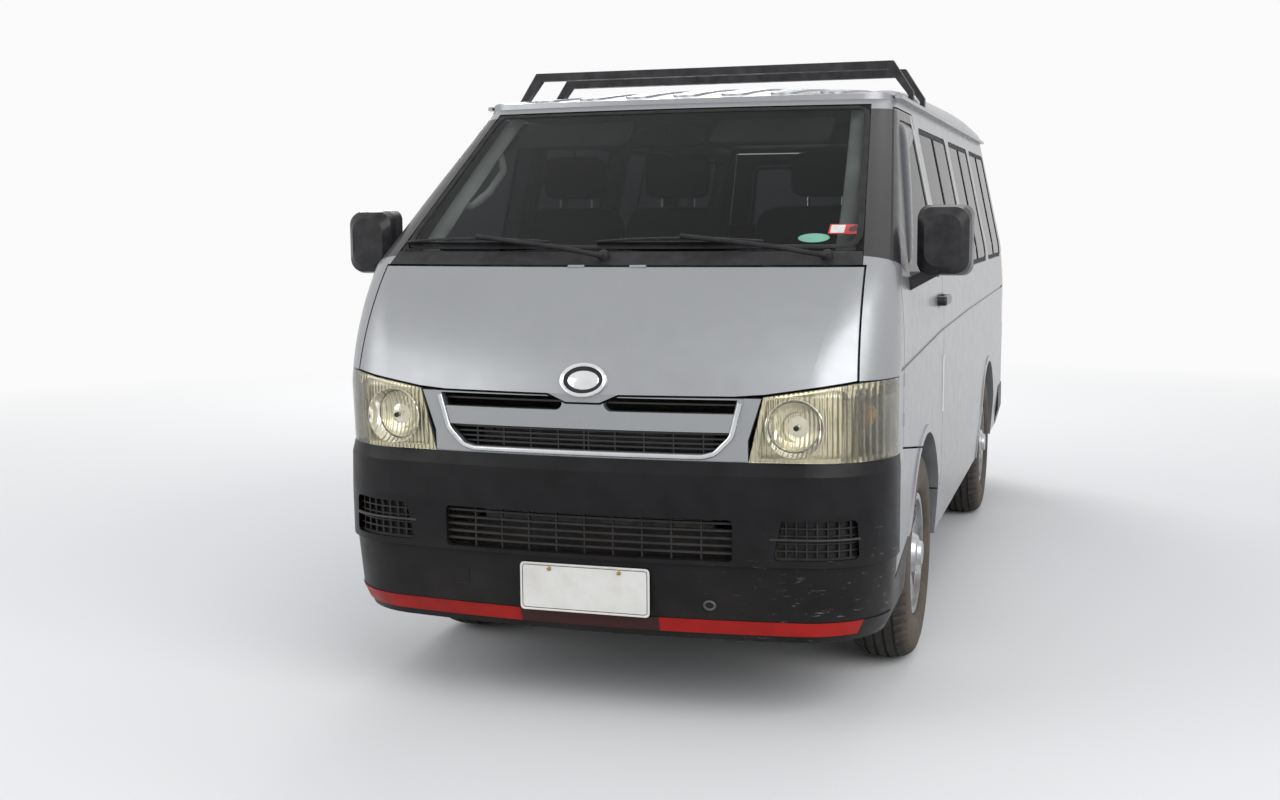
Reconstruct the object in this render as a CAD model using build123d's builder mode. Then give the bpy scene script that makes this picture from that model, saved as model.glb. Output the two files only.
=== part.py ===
from math import atan2, cos, radians, sin, sqrt
import os

from build123d import *

# Passenger van, semi cab over, left-hand drive, in millimetres
# X points to the van's left, Y to its rear, Z up; the origin is on the floor below its middle

# Driving dimensions
LENGTH = 4695
WHEELBASE = 2570
FRONT_OVERHANG = 985
TRACK = 1470
MIRROR_SPAN = 2032

# Gaps
SHUT_GAP = 6        # round doors, bonnet and tailgate
FIT = 0.3           # between seated pieces on curved faces
REACH = 3000        # long enough for any cut to pass through

# Wall thicknesses
WALL = 60           # body sides, doors and tailgate
PANEL = 28          # bonnet
ROOF_SKIN = 30
GLASS_OUT = 4       # outer face of the glass below the body surface
GLASS_THICK = 5

# Heights
SILL_Z = 330
FLOOR_TOP = 600
FLOOR_THICK = 40
LAMP_LOW = 778
NOSE_Z = 960        # lower edge of the bonnet
COWL_Z = 1310       # upper edge of the bonnet
BELT_Z = 1238       # lower edge of the side windows
WINDOW_TOP = 1765
GUTTER_Z = 1830     # top of the body sides, where the roof panel sits
DOOR_TOP = 1798
DOOR_LOW = 500
BUMPER_LOW = 266

# Wheels
TYRE_R = 345
TYRE_W = 195
RIM_R = 190
RIM_W = 164
ARCH_R = 400
HOUSE_R = 432       # wheel house inside the arch
KINGPIN_X = 655

FRONT = -LENGTH / 2
REAR = LENGTH / 2
FRONT_AXLE = FRONT + FRONT_OVERHANG
REAR_AXLE = FRONT_AXLE + WHEELBASE
WHEEL_X = TRACK / 2
AXLE_Z = TYRE_R

# Body outline at each height: z, half width, nose setback, nose corner, tail setback, tail corner
LOWER_BODY = [
    (SILL_Z, 828, 60, 250, 62, 110),
    (540, 846, 40, 258, 52, 120),
    (NOSE_Z, 847.5, 14, 262, 40, 125),
]
MIDDLE_BODY = [
    (NOSE_Z, 847.5, 14, 262, 40, 125),
    (1135, 845, 98, 215, 42, 125),
    (COWL_Z, 828, 244, 140, 55, 120),
]
UPPER_BODY = [
    (COWL_Z, 828, 244, 140, 55, 120),
    (GUTTER_Z, 716, 990, 110, 135, 110),
]
# Front bumper, same columns
FOLD_Z = 490        # ledge across the bumper
BUMPER_LOWER = [
    (BUMPER_LOW, 808, 56, 250, 40, 110),
    (330, 832, 30, 262, 40, 110),
    (FOLD_Z, 842, 13, 266, 40, 110),
]
BUMPER_UPPER = [
    (FOLD_Z, 849, 3, 266, 40, 110),
    (640, 849, 0, 266, 40, 110),
    (742, 849, 5, 266, 40, 110),
    (LAMP_LOW - FIT, 846, 22, 260, 40, 110),
]
# Rear bumper, same columns
REAR_BUMPER_Z = 320
REAR_BUMPER_TOP = 545
REAR_BUMPER = [
    (REAR_BUMPER_Z, 822, 60, 250, 18, 130),
    (420, 848, 40, 258, 0, 140),
    (REAR_BUMPER_TOP, 848, 40, 258, 6, 135),
]
NOSE_BOW = 4000     # radius of the nose in plan
TAIL_BOW = 6500     # radius of the tail in plan

# Roof sections: setback from the front, edge height, shoulder share, crown height
ROOF_SECTIONS = [
    (940, 1835, 0.62, 1838),
    (1150, 1842, 0.62, 1869),
    (1500, 1848, 0.62, 1908),
    (2100, 1850, 0.60, 1950),
    (2900, 1850, 0.60, 1978),
    (4000, 1850, 0.60, 1974),
    (4600, 1846, 0.60, 1938),
]
ROOF_HALF = 716
SHOULDER_IN = 95
RIB_HEIGHT = 6
RIB_XS = [-510, -340, -170, 0, 170, 340, 510]
RIB_WIDTH = 90
RIB_LONG = 3440
RIB_MIDDLE = 2790


def at(setback):
    """Y of a place measured back from the foremost point."""
    return FRONT + setback


def outline(half, nose, corner, tail, tail_corner, bow=NOSE_BOW):
    """Closed plan outline: bowed nose, two corners, straight sides, bowed tail."""
    nose_y = at(nose)
    tail_y = REAR - tail
    inset = half - corner
    run = sqrt((bow - corner) ** 2 - inset**2)
    corner_y = nose_y + bow - run
    touch_x = bow * inset / (bow - corner)
    touch_y = nose_y + bow - bow * run / (bow - corner)
    turn = atan2(-run, inset) / 2
    mid_x = inset + corner * cos(turn)
    mid_y = corner_y + corner * sin(turn)
    back = half - tail_corner
    back_run = sqrt((TAIL_BOW - tail_corner) ** 2 - back**2)
    back_y = tail_y - TAIL_BOW + back_run
    end_x = TAIL_BOW * back / (TAIL_BOW - tail_corner)
    end_y = tail_y - TAIL_BOW + TAIL_BOW * back_run / (TAIL_BOW - tail_corner)
    back_turn = atan2(back_run, back) / 2
    rear_x = back + tail_corner * cos(back_turn)
    rear_y = back_y + tail_corner * sin(back_turn)
    ThreePointArc((-touch_x, touch_y), (0, nose_y), (touch_x, touch_y))
    ThreePointArc((touch_x, touch_y), (mid_x, mid_y), (half, corner_y))
    Line((half, corner_y), (half, back_y))
    ThreePointArc((half, back_y), (rear_x, rear_y), (end_x, end_y))
    ThreePointArc((end_x, end_y), (0, tail_y), (-end_x, end_y))
    ThreePointArc((-end_x, end_y), (-rear_x, rear_y), (-half, back_y))
    Line((-half, back_y), (-half, corner_y))
    ThreePointArc((-half, corner_y), (-mid_x, mid_y), (-touch_x, touch_y))


def bow(x, radius=NOSE_BOW):
    """How far the bowed nose lies back at x."""
    return radius - sqrt(radius**2 - x**2)


def body_form(inset, stacks=(LOWER_BODY, MIDDLE_BODY, UPPER_BODY), overrun=0, ruled=False):
    """Lofted body, drawn in by an inset; overrun lengthens it past both ends."""
    with BuildPart() as form:
        for stack in stacks:
            for z, half, nose, corner, tail, tail_corner in stack:
                with BuildSketch(Plane.XY.offset(z)):
                    with BuildLine():
                        outline(half - inset, nose + inset, max(corner - inset, 30), tail + inset,
                                max(tail_corner - inset, 30), NOSE_BOW - inset)
                    make_face()
            loft(ruled=ruled or stack is not MIDDLE_BODY)
        if overrun:
            extrude(faces().sort_by(Axis.Z)[0], amount=overrun)
            extrude(faces().sort_by(Axis.Z)[-1], amount=overrun)
    return form.part


def shell(outer_inset, inner_inset, stacks=(LOWER_BODY, MIDDLE_BODY, UPPER_BODY)):
    """Layer of the body between two insets."""
    with BuildPart() as layer:
        add(body_form(outer_inset, stacks))
        add(body_form(inner_inset, stacks, overrun=4, ruled=inner_inset > 20), mode=Mode.SUBTRACT)
    return layer.part


def bowed_bar(half, setback, depth, z_from, z_to):
    """Bar across the nose that follows its bow."""
    back = setback + bow(half)
    with BuildPart() as bar:
        with BuildSketch(Plane.XY.offset(z_from)):
            with BuildLine():
                ThreePointArc((-half, at(back)), (0, at(setback)), (half, at(back)))
                Line((half, at(back)), (half, at(back + depth)))
                ThreePointArc((half, at(back + depth)), (0, at(setback + depth)), (-half, at(back + depth)))
                Line((-half, at(back + depth)), (-half, at(back)))
            make_face()
        extrude(amount=z_to - z_from)
    return bar.part


def side_prism(points, x_from, x_to, grow=0, round_to=0):
    """Side-view polygon of (setback, z) points, carried across from x_from to x_to."""
    with BuildPart() as prism:
        with BuildSketch(Plane.YZ.offset(x_from)):
            with BuildLine():
                Polyline([(at(s), z) for s, z in points], close=True)
            make_face()
            if round_to:
                fillet(vertices(), round_to)
            if grow:
                offset(amount=grow, kind=Kind.INTERSECTION, mode=Mode.REPLACE)
        extrude(amount=x_to - x_from)
    return prism.part


def front_prism(points, s_from, s_to, grow=0, round_to=0):
    """Front-view polygon of (x, z) points, carried back from one setback to another."""
    with BuildPart() as prism:
        with BuildSketch(Plane.XZ.offset(-at(s_to))):
            with BuildLine():
                Polyline(points, close=True)
            make_face()
            if round_to:
                fillet(vertices(), round_to)
            if grow:
                offset(amount=grow, kind=Kind.INTERSECTION, mode=Mode.REPLACE)
        extrude(amount=s_to - s_from)
    return prism.part


def block(x_from, x_to, s_from, s_to, z_from, z_to):
    """Plain block between two corners."""
    with BuildPart() as box:
        with Locations(((x_from + x_to) / 2, at((s_from + s_to) / 2), (z_from + z_to) / 2)):
            Box(abs(x_to - x_from), s_to - s_from, z_to - z_from)
    return box.part


def rod(start, end, radius):
    """Round bar between two points."""
    axis = Vector(*end) - Vector(*start)
    with BuildPart() as bar:
        with BuildSketch(Plane(origin=start, z_dir=axis)):
            Circle(radius)
        extrude(amount=axis.length)
    return bar.part


def both_sides(part):
    """The part and its mirror image."""
    with BuildPart() as pair:
        add(part)
        mirror(part, about=Plane.YZ)
    return pair.part


def save(name, part):
    """Label the piece and write it."""
    part.label = name
    export_step(part, f"parts/{name}.step")


os.makedirs("parts", exist_ok=True)

# Arch lips and the crease that runs along each side: setback and z of its lower edge
REAR_SETBACK = FRONT_OVERHANG + WHEELBASE
LIP_WIDE = 26
LIP_OUT = 5
CREASE = [(330, 1010), (1380, 1049), (2480, 1063), (4420, 1071)]
CREASE_HIGH = 11
CREASE_DEEP = 4


def arch(setback, radius, x_from, x_to):
    """Cylinder round an axle, across the car."""
    with BuildPart() as drum:
        with BuildSketch(Plane.YZ.offset(x_from)):
            with Locations((at(setback), AXLE_Z)):
                Circle(radius)
        extrude(amount=x_to - x_from)
    return drum.part


with BuildPart() as lip_rings:
    for setback in (FRONT_OVERHANG, REAR_SETBACK):
        add(arch(setback, ARCH_R + LIP_WIDE, WHEEL_X, REACH))
    for setback in (FRONT_OVERHANG, REAR_SETBACK):
        add(arch(setback, ARCH_R, WHEEL_X, REACH), mode=Mode.SUBTRACT)
    add(shell(-LIP_OUT, WALL / 4, (LOWER_BODY,)), mode=Mode.INTERSECT)
arch_lips = lip_rings.part
with BuildPart() as groove:
    add(side_prism(CREASE + [(s, z + CREASE_HIGH) for s, z in reversed(CREASE)], WHEEL_X, REACH))
    add(body_form(CREASE_DEEP, ruled=True), mode=Mode.SUBTRACT)
crease = groove.part

# Shared forms
wall = shell(0, WALL)
with BuildPart() as half_wall:
    add(wall)
    split(bisect_by=Plane.YZ, keep=Keep.TOP)
    add(arch_lips)
    add(crease, mode=Mode.SUBTRACT)
wall_left = half_wall.part
cabin_fit = body_form(WALL + FIT, ruled=True)
skin = shell(0, PANEL, (LOWER_BODY, MIDDLE_BODY))
glass_layer = shell(GLASS_OUT, GLASS_OUT + GLASS_THICK, (MIDDLE_BODY, UPPER_BODY))

# Front-view outlines, x and z
BONNET = [
    (742, COWL_Z - 3), (754, 1003), (515, 968), (430, NOSE_Z + 2), (105, NOSE_Z), (50, 936),
    (-50, 936), (-105, NOSE_Z), (-430, NOSE_Z + 2), (-515, 968), (-754, 1003), (-742, COWL_Z - 3),
]
SCREEN_LOW = COWL_Z + 42
SCREEN_TOP = 1812
SCREEN_OPENING = [(-738, COWL_Z + 3), (738, COWL_Z + 3), (650, SCREEN_TOP), (-650, SCREEN_TOP)]
SCREEN_GLASS = [(-730, SCREEN_LOW), (730, SCREEN_LOW), (650, SCREEN_TOP), (-650, SCREEN_TOP)]
LAMP = [(470, LAMP_LOW), (860, LAMP_LOW), (860, 1000), (756, 996), (512, 960)]
LAMP_END = 300      # setback of the lamp's rear edge on the side
TAILGATE = [(-700, 556), (700, 556), (716, 1240), (634, 1806), (-634, 1806), (-716, 1240)]
TAIL_LAMP = [(722, 880), (REACH, 880), (REACH, 1260), (738, 1260)]
TAIL_LAMP_START = 4420
TAIL_WINDOW = [(-610, 1252), (610, 1252), (552, 1742), (-552, 1742)]
TAIL_WINDOW_ROUND = 50
GRILLE_OUT = [
    (506, 956), (-506, 956), (-468, 838), (-468, LAMP_LOW), (468, LAMP_LOW), (468, 838),
]
GRILLE_IN = [(442, 952), (-442, 952), (-416, 850), (-372, 806), (-340, 798), (340, 798), (372, 806), (416, 850)]

# Side-view outlines, setback and z
DOOR = [
    (400, 785), (400, 1322), (1068, DOOR_TOP), (1465, DOOR_TOP), (1465, DOOR_LOW), (1290, DOOR_LOW),
    (1000, 600), (850, 722),
]
DOOR_WINDOW = [(560, BELT_Z + 26), (1100, WINDOW_TOP), (1412, WINDOW_TOP), (1412, BELT_Z)]
BUMPER_SIDE = [
    (-50, 200), (700, 200), (700, 500), (600, 490), (340, 408), (340, LAMP_LOW), (-50, LAMP_LOW),
]
SLIDE_DOOR = [(1525, DOOR_LOW), (1525, DOOR_TOP), (2540, DOOR_TOP), (2540, DOOR_LOW)]
# Fixed side windows: first and last setback
SIDE_WINDOWS = [(1572, 2484), (2600, 3460), (3560, 4380)]
WINDOW_ROUND = 42
DOOR_WINDOW_ROUND = 30


def window_points(first, last):
    """Side window between two setbacks."""
    return [(first, BELT_Z), (last, BELT_Z), (last, WINDOW_TOP), (first, WINDOW_TOP)]


# Hinges: pins on the edge of each moving panel, in grooves of the piece that carries it
PIN_R = 4.5
PIN_EDGE = 2        # from the panel's edge to the pin's middle
DOOR_AXIS = (846.5, at(DOOR[0][0] - PIN_EDGE))
SWING_CLEAR = 5     # kept between a swinging door's rear edge and its pillar
SWING_R = DOOR[3][0] - DOOR[0][0] + PIN_EDGE + SHUT_GAP - SWING_CLEAR
DOOR_PINS = [(845, 885), (960, 1000)]
BONNET_AXIS = (at(244), COWL_Z - 3 + PIN_EDGE)
BONNET_PINS = [(70, 120), (-120, -70)]
GATE_AXIS = (REAR - 130, 1806 + PIN_EDGE)
GATE_PINS = [(70, 120), (-120, -70)]


def door_pins(radius):
    """Upright hinge pins of the left front door."""
    with BuildPart() as pins:
        for z_from, z_to in DOOR_PINS:
            add(rod((*DOOR_AXIS, z_from), (*DOOR_AXIS, z_to), radius))
    return pins.part


def cross_pins(axis, spans, radius):
    """Level hinge pins of the bonnet or tailgate."""
    with BuildPart() as pins:
        for x_from, x_to in spans:
            add(rod((x_from, *axis), (x_to, *axis), radius))
    return pins.part


# Body sides, with every opening cut
with BuildPart() as side_left:
    add(wall_left)
    add(block(-REACH, 600, -100, LENGTH + 100, 0, REACH), mode=Mode.SUBTRACT)
    add(block(0, REACH, -100, LAMP_END + FIT, 0, 1002), mode=Mode.SUBTRACT)
    add(front_prism(BONNET, -50, 560, grow=SHUT_GAP), mode=Mode.SUBTRACT)
    add(front_prism(SCREEN_OPENING, -50, 1400), mode=Mode.SUBTRACT)
    add(front_prism(TAILGATE, 4200, LENGTH + 50, grow=SHUT_GAP), mode=Mode.SUBTRACT)
    add(side_prism(DOOR, 0, REACH, grow=SHUT_GAP), mode=Mode.SUBTRACT)
    add(door_pins(PIN_R + FIT), mode=Mode.SUBTRACT)
    add(arch(FRONT_OVERHANG, ARCH_R, 0, REACH), mode=Mode.SUBTRACT)
    add(arch(REAR_SETBACK, ARCH_R, 0, REACH), mode=Mode.SUBTRACT)
    add(block(0, REACH, 4290, LENGTH + 50, 0, REAR_BUMPER_TOP), mode=Mode.SUBTRACT)
    add(side_prism(BUMPER_SIDE, 0, REACH, grow=FIT), mode=Mode.SUBTRACT)
    for first, last in SIDE_WINDOWS[1:]:
        add(side_prism(window_points(first, last), 0, REACH, round_to=WINDOW_ROUND), mode=Mode.SUBTRACT)
    add(front_prism(TAIL_LAMP, TAIL_LAMP_START, LENGTH + 50), mode=Mode.SUBTRACT)

with BuildPart() as side_right:
    mirror(side_left.part, about=Plane.YZ)
    add(side_prism(SLIDE_DOOR, -REACH, 0, grow=SHUT_GAP), mode=Mode.SUBTRACT)

with BuildPart() as side_left_cut:
    add(side_left.part)
    first, last = SIDE_WINDOWS[0]
    add(side_prism(window_points(first, last), 0, REACH, round_to=WINDOW_ROUND), mode=Mode.SUBTRACT)
save("side_left", side_left_cut.part)
save("side_right", side_right.part)


# Roof panel with ribs, drip gutters and the headers over windscreen and tailgate
def roof_form(narrow, lower, first_section=0, last_section=len(ROOF_SECTIONS), base=GUTTER_Z):
    """Lofted roof crown, narrowed and lowered for its inner face."""
    with BuildPart() as crown:
        for setback, edge, share, top in ROOF_SECTIONS[first_section:last_section]:
            half = ROOF_HALF - narrow
            shoulder = half - SHOULDER_IN
            edge_z = edge - lower
            top_z = top - lower
            shoulder_z = edge_z + (top_z - edge_z) * share
            bend = (half - SHOULDER_IN * 0.18, edge_z + (shoulder_z - edge_z) * 0.62)
            with BuildSketch(Plane.XZ.offset(-at(setback))):
                with BuildLine():
                    Line((-half, base), (half, base))
                    Line((half, base), (half, edge_z))
                    ThreePointArc((half, edge_z), bend, (shoulder, shoulder_z))
                    ThreePointArc((shoulder, shoulder_z), (0, top_z), (-shoulder, shoulder_z))
                    ThreePointArc((-shoulder, shoulder_z), (-bend[0], bend[1]), (-half, edge_z))
                    Line((-half, edge_z), (-half, base))
                make_face()
        loft()
    return crown.part


z, half, nose, corner, tail, tail_corner = UPPER_BODY[-1]
with BuildPart() as roof_plan:
    with BuildSketch(Plane.XY.offset(GUTTER_Z)):
        with BuildLine():
            outline(half, nose, corner, tail, tail_corner)
        make_face()
    extrude(amount=200)

with BuildPart() as ribs:
    with BuildSketch(Plane.XY.offset(GUTTER_Z)):
        for x in RIB_XS:
            with Locations((x, at(RIB_MIDDLE))):
                SlotOverall(RIB_LONG, RIB_WIDTH, rotation=90)
    extrude(amount=200)
    add(roof_form(0, -RIB_HEIGHT), mode=Mode.INTERSECT)

with BuildPart() as roof:
    add(roof_form(0, 0))
    add(roof_plan.part, mode=Mode.INTERSECT)
    add(ribs.part)
    add(roof_form(WALL, ROOF_SKIN, 1, 6, base=GUTTER_Z - 40), mode=Mode.SUBTRACT)
with BuildPart() as headers:
    add(block(-600, 600, 900, 2000, SCREEN_TOP, GUTTER_Z))
    add(block(-600, 600, 4200, LENGTH, 1800, GUTTER_Z))
    add(shell(0, WALL, (UPPER_BODY,)), mode=Mode.INTERSECT)
    add(front_prism(TAILGATE, 4200, LENGTH + 50, grow=SHUT_GAP), mode=Mode.SUBTRACT)
# Drip gutter along each side: first and last setback, z, and how far it stands out
GUTTER_RUN = (1100, 4440)
GUTTER = (1834, 1846)
GUTTER_OUT = 20
with BuildPart() as gutter_bar:
    add(block(ROOF_HALF - 2, ROOF_HALF + GUTTER_OUT, *GUTTER_RUN, *GUTTER))
    chamfer(edges().filter_by(Axis.Z).group_by(Axis.X)[-1], GUTTER_OUT - 2)
gutter = gutter_bar.part
with BuildPart() as roof_whole:
    add(roof.part)
    add(headers.part)
    add(both_sides(gutter))
    add(cross_pins(GATE_AXIS, GATE_PINS, PIN_R + FIT), mode=Mode.SUBTRACT)
save("roof", roof_whole.part)

# Doors, each as thick as the wall, with the window cut; handles stand proud of the skin
HANDLE_Z = 1160
HANDLE_LONG = 170
HANDLE_HIGH = 34
HANDLE_OUT = 30
HANDLE_FOOT = 60    # length of the grip at both ends that is not hollow
HANDLE_X = 845      # where the grip starts, just under the skin
HANDLE_DOOR = 1365  # setback of each handle's middle
HANDLE_SLIDE = 1630


def handle(setback):
    """Grip with two feet on the body side."""
    with BuildPart() as grip:
        with BuildSketch(Plane.YZ.offset(HANDLE_X - 15)):
            with Locations((at(setback), HANDLE_Z)):
                SlotOverall(HANDLE_LONG, HANDLE_HIGH)
        extrude(amount=HANDLE_OUT + 15)
        with BuildSketch(Plane.YZ.offset(HANDLE_X - 40)):
            with Locations((at(setback), HANDLE_Z)):
                Rectangle(HANDLE_LONG - HANDLE_FOOT, HANDLE_HIGH * 2)
        extrude(amount=HANDLE_OUT + 25, mode=Mode.SUBTRACT)
        fillet(edges().group_by(Axis.X)[-1], 8)
    return grip.part


with BuildPart() as front_door:
    add(wall_left)
    add(side_prism(DOOR, 0, REACH), mode=Mode.INTERSECT)
    add(arch(FRONT_OVERHANG, ARCH_R, 0, REACH), mode=Mode.SUBTRACT)
    add(side_prism(DOOR_WINDOW, 0, REACH, round_to=DOOR_WINDOW_ROUND), mode=Mode.SUBTRACT)
    add(rod((*DOOR_AXIS, 0), (*DOOR_AXIS, REACH), SWING_R), mode=Mode.INTERSECT)
    add(handle(HANDLE_DOOR))
    add(door_pins(PIN_R))
save("front_door_left", front_door.part)
with BuildPart() as front_door_right:
    mirror(front_door.part, about=Plane.YZ)
save("front_door_right", front_door_right.part)
with BuildPart() as door_glass:
    add(glass_layer)
    add(side_prism(DOOR_WINDOW, 0, REACH, grow=-FIT, round_to=DOOR_WINDOW_ROUND), mode=Mode.INTERSECT)
save("door_glass_left", door_glass.part)
with BuildPart() as door_glass_right:
    mirror(door_glass.part, about=Plane.YZ)
save("door_glass_right", door_glass_right.part)

with BuildPart() as sliding_door:
    add(wall_left)
    add(side_prism(SLIDE_DOOR, 0, REACH), mode=Mode.INTERSECT)
    add(side_prism(window_points(*SIDE_WINDOWS[0]), 0, REACH, round_to=WINDOW_ROUND), mode=Mode.SUBTRACT)
    add(handle(HANDLE_SLIDE))
with BuildPart() as sliding_door_right:
    mirror(sliding_door.part, about=Plane.YZ)
save("sliding_door", sliding_door_right.part)

with BuildPart() as panes:
    for first, last in SIDE_WINDOWS:
        add(side_prism(window_points(first, last), -REACH, REACH, grow=-FIT, round_to=WINDOW_ROUND))
with BuildPart() as side_glass:
    add(glass_layer)
    add(panes.part, mode=Mode.INTERSECT)
save("side_glass", side_glass.part)

# Bonnet, cowl and windscreen
with BuildPart() as bonnet:
    add(skin)
    add(front_prism(BONNET, -50, 560), mode=Mode.INTERSECT)
    add(cross_pins(BONNET_AXIS, BONNET_PINS, PIN_R))
save("bonnet", bonnet.part)
COWL = [(-737, COWL_Z + 3), (737, COWL_Z + 3), (729, SCREEN_LOW - 1), (-729, SCREEN_LOW - 1)]
with BuildPart() as cowl:
    add(wall)
    add(front_prism(COWL, -50, 700), mode=Mode.INTERSECT)
    add(cross_pins(BONNET_AXIS, BONNET_PINS, PIN_R + FIT), mode=Mode.SUBTRACT)
save("cowl_panel", cowl.part)
with BuildPart() as windscreen:
    add(glass_layer)
    add(front_prism(SCREEN_GLASS, -50, 1400, grow=-FIT), mode=Mode.INTERSECT)
save("windscreen", windscreen.part)

# Tailgate with its glass, a recess for the plate and a grip bar over it
PLATE_RECESS = (250, 820, 990)   # half width, low and high z
PLATE_DEEP = 14
GRIP_BAR = (270, 996, 1036)
GRIP_OUT = 16
with BuildPart() as plate_recess:
    half, low, high = PLATE_RECESS
    add(front_prism([(-half, low), (half, low), (half, high), (-half, high)], 4200, LENGTH + 50, round_to=16))
    add(body_form(PLATE_DEEP, (MIDDLE_BODY, LOWER_BODY), ruled=True), mode=Mode.SUBTRACT)
with BuildPart() as gate_grip:
    half, low, high = GRIP_BAR
    add(front_prism([(-half, low), (half, low), (half, high), (-half, high)], 4200, LENGTH + 50, round_to=12))
    add(shell(-GRIP_OUT, WALL / 2, (MIDDLE_BODY,)), mode=Mode.INTERSECT)
with BuildPart() as tailgate:
    add(wall)
    add(front_prism(TAILGATE, 4200, LENGTH + 50), mode=Mode.INTERSECT)
    add(front_prism(TAIL_WINDOW, 4200, LENGTH + 50, round_to=TAIL_WINDOW_ROUND), mode=Mode.SUBTRACT)
    add(plate_recess.part, mode=Mode.SUBTRACT)
    add(gate_grip.part)
    add(cross_pins(GATE_AXIS, GATE_PINS, PIN_R))
save("tailgate", tailgate.part)
with BuildPart() as tailgate_glass:
    add(glass_layer)
    add(front_prism(TAIL_WINDOW, 4200, LENGTH + 50, grow=-FIT, round_to=TAIL_WINDOW_ROUND), mode=Mode.INTERSECT)
save("tailgate_glass", tailgate_glass.part)

# Tail lamps, upright at the rear corners
with BuildPart() as tail_lamp:
    add(wall_left)
    add(front_prism(TAIL_LAMP, TAIL_LAMP_START + FIT, LENGTH + 50, grow=-FIT), mode=Mode.INTERSECT)
save("tail_lamps", both_sides(tail_lamp.part))

# Headlamps: housing with a round reflector bowl and a clear lens over it
LAMP_DEPTH = 110
LENS_THICK = 6
with BuildPart() as lamp_region:
    add(front_prism(LAMP, -50, LAMP_END))
nose_stacks = (LOWER_BODY, MIDDLE_BODY)
with BuildPart() as lens:
    add(shell(0, LENS_THICK, nose_stacks))
    add(lamp_region.part, mode=Mode.INTERSECT)
save("headlamp_lenses", both_sides(lens.part))
BOWL_X = 600
BOWL_Z = 876
BOWL_R = 84
BOWL_BACK_R = 38
BOWL_FRONT = 5      # setbacks of the bowl's mouth and bottom
BOWL_BACK = 98
# Shallow field round the bowl, and the ribbed indicator field outside it, x and z
BOWL_FIELD = [(492, 790), (716, 790), (728, 976), (700, 980), (520, 952)]
SIGNAL_FIELD = [(738, 790), (836, 792), (836, 984), (750, 980)]
FIELD_DEEP = 26
SIGNAL_RIB = 5
SIGNAL_RIB_XS = [753, 768, 783, 798, 813]
with BuildPart() as lamp_fields:
    add(front_prism(BOWL_FIELD, -50, LAMP_END, round_to=12))
    add(front_prism(SIGNAL_FIELD, -50, LAMP_END, round_to=8))
    for x in SIGNAL_RIB_XS:
        add(block(x, x + SIGNAL_RIB, -50, LAMP_END, 0, REACH), mode=Mode.SUBTRACT)
    add(shell(0, FIELD_DEEP, nose_stacks), mode=Mode.INTERSECT)
with BuildPart() as lamp:
    add(shell(LENS_THICK + FIT, LAMP_DEPTH, nose_stacks))
    add(lamp_region.part, mode=Mode.INTERSECT)
    with BuildSketch(Plane.XZ.offset(-at(BOWL_BACK))):
        with Locations((BOWL_X, BOWL_Z)):
            Circle(BOWL_BACK_R)
    with BuildSketch(Plane.XZ.offset(-at(BOWL_FRONT))):
        with Locations((BOWL_X, BOWL_Z)):
            Circle(BOWL_R)
    loft(mode=Mode.SUBTRACT)
    add(lamp_fields.part, mode=Mode.SUBTRACT)
save("headlamps", both_sides(lamp.part))

# Grille: bright surround with a raised inner rim, a bar that rises into a centre block, dark slats behind
GRILLE_DEPTH = 46
RIM_WIDE = 15       # raised rim round the opening
RIM_OUT = 3
BAR_HALF = 450
BAR_Z = (860, 912)
BLOCK_HALF = 62
BLOCK_Z = (860, 950)
SCOOP_R = 22        # where the bar sweeps up into the block
SLAT_BACK = 44
SLAT_DEEP = 14
SLAT_THICK = 5
SLAT_ZS = [808, 822, 836, 850, 932]
FIN_THICK = 4
FIN_XS = [-340, -255, -170, -85, -7, 7, 85, 170, 255, 340]
with BuildPart() as grille_bar:
    with BuildSketch(Plane.XZ.offset(-at(200))):
        with Locations((0, (BAR_Z[0] + BAR_Z[1]) / 2)):
            Rectangle(2 * BAR_HALF, BAR_Z[1] - BAR_Z[0])
        with Locations((0, (BLOCK_Z[0] + BLOCK_Z[1]) / 2)):
            Rectangle(2 * BLOCK_HALF, BLOCK_Z[1] - BLOCK_Z[0])
        fillet(vertices().filter_by_position(Axis.Y, BAR_Z[1] - 1, BAR_Z[1] + 1).filter_by_position(
            Axis.X, -BLOCK_HALF - 1, BLOCK_HALF + 1), SCOOP_R)
    extrude(amount=250)
    add(shell(0, GRILLE_DEPTH - 6, (LOWER_BODY,)), mode=Mode.INTERSECT)
with BuildPart() as grille_rim:
    add(shell(-RIM_OUT, GRILLE_DEPTH - 10, (LOWER_BODY,)))
    add(front_prism(GRILLE_IN, -50, 200, grow=RIM_WIDE), mode=Mode.INTERSECT)
    add(front_prism(GRILLE_OUT, -50, 200), mode=Mode.INTERSECT)
with BuildPart() as grille:
    add(shell(2, GRILLE_DEPTH, (LOWER_BODY,)))
    add(front_prism(GRILLE_OUT, -50, 200), mode=Mode.INTERSECT)
    add(grille_rim.part)
    add(front_prism(GRILLE_IN, -50, 200), mode=Mode.SUBTRACT)
    add(grille_bar.part)
    for z in SLAT_ZS:
        add(bowed_bar(BAR_HALF, SLAT_BACK, SLAT_DEEP, z, z + SLAT_THICK))
    for x in FIN_XS:
        fin_back = SLAT_BACK + bow(x) + 2
        add(block(x - FIN_THICK / 2, x + FIN_THICK / 2, fin_back, fin_back + SLAT_DEEP - 4, 790, BAR_Z[0] + 10))
    add(front_prism(BONNET, -50, 200, grow=SHUT_GAP), mode=Mode.SUBTRACT)
save("grille", grille.part)

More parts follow.
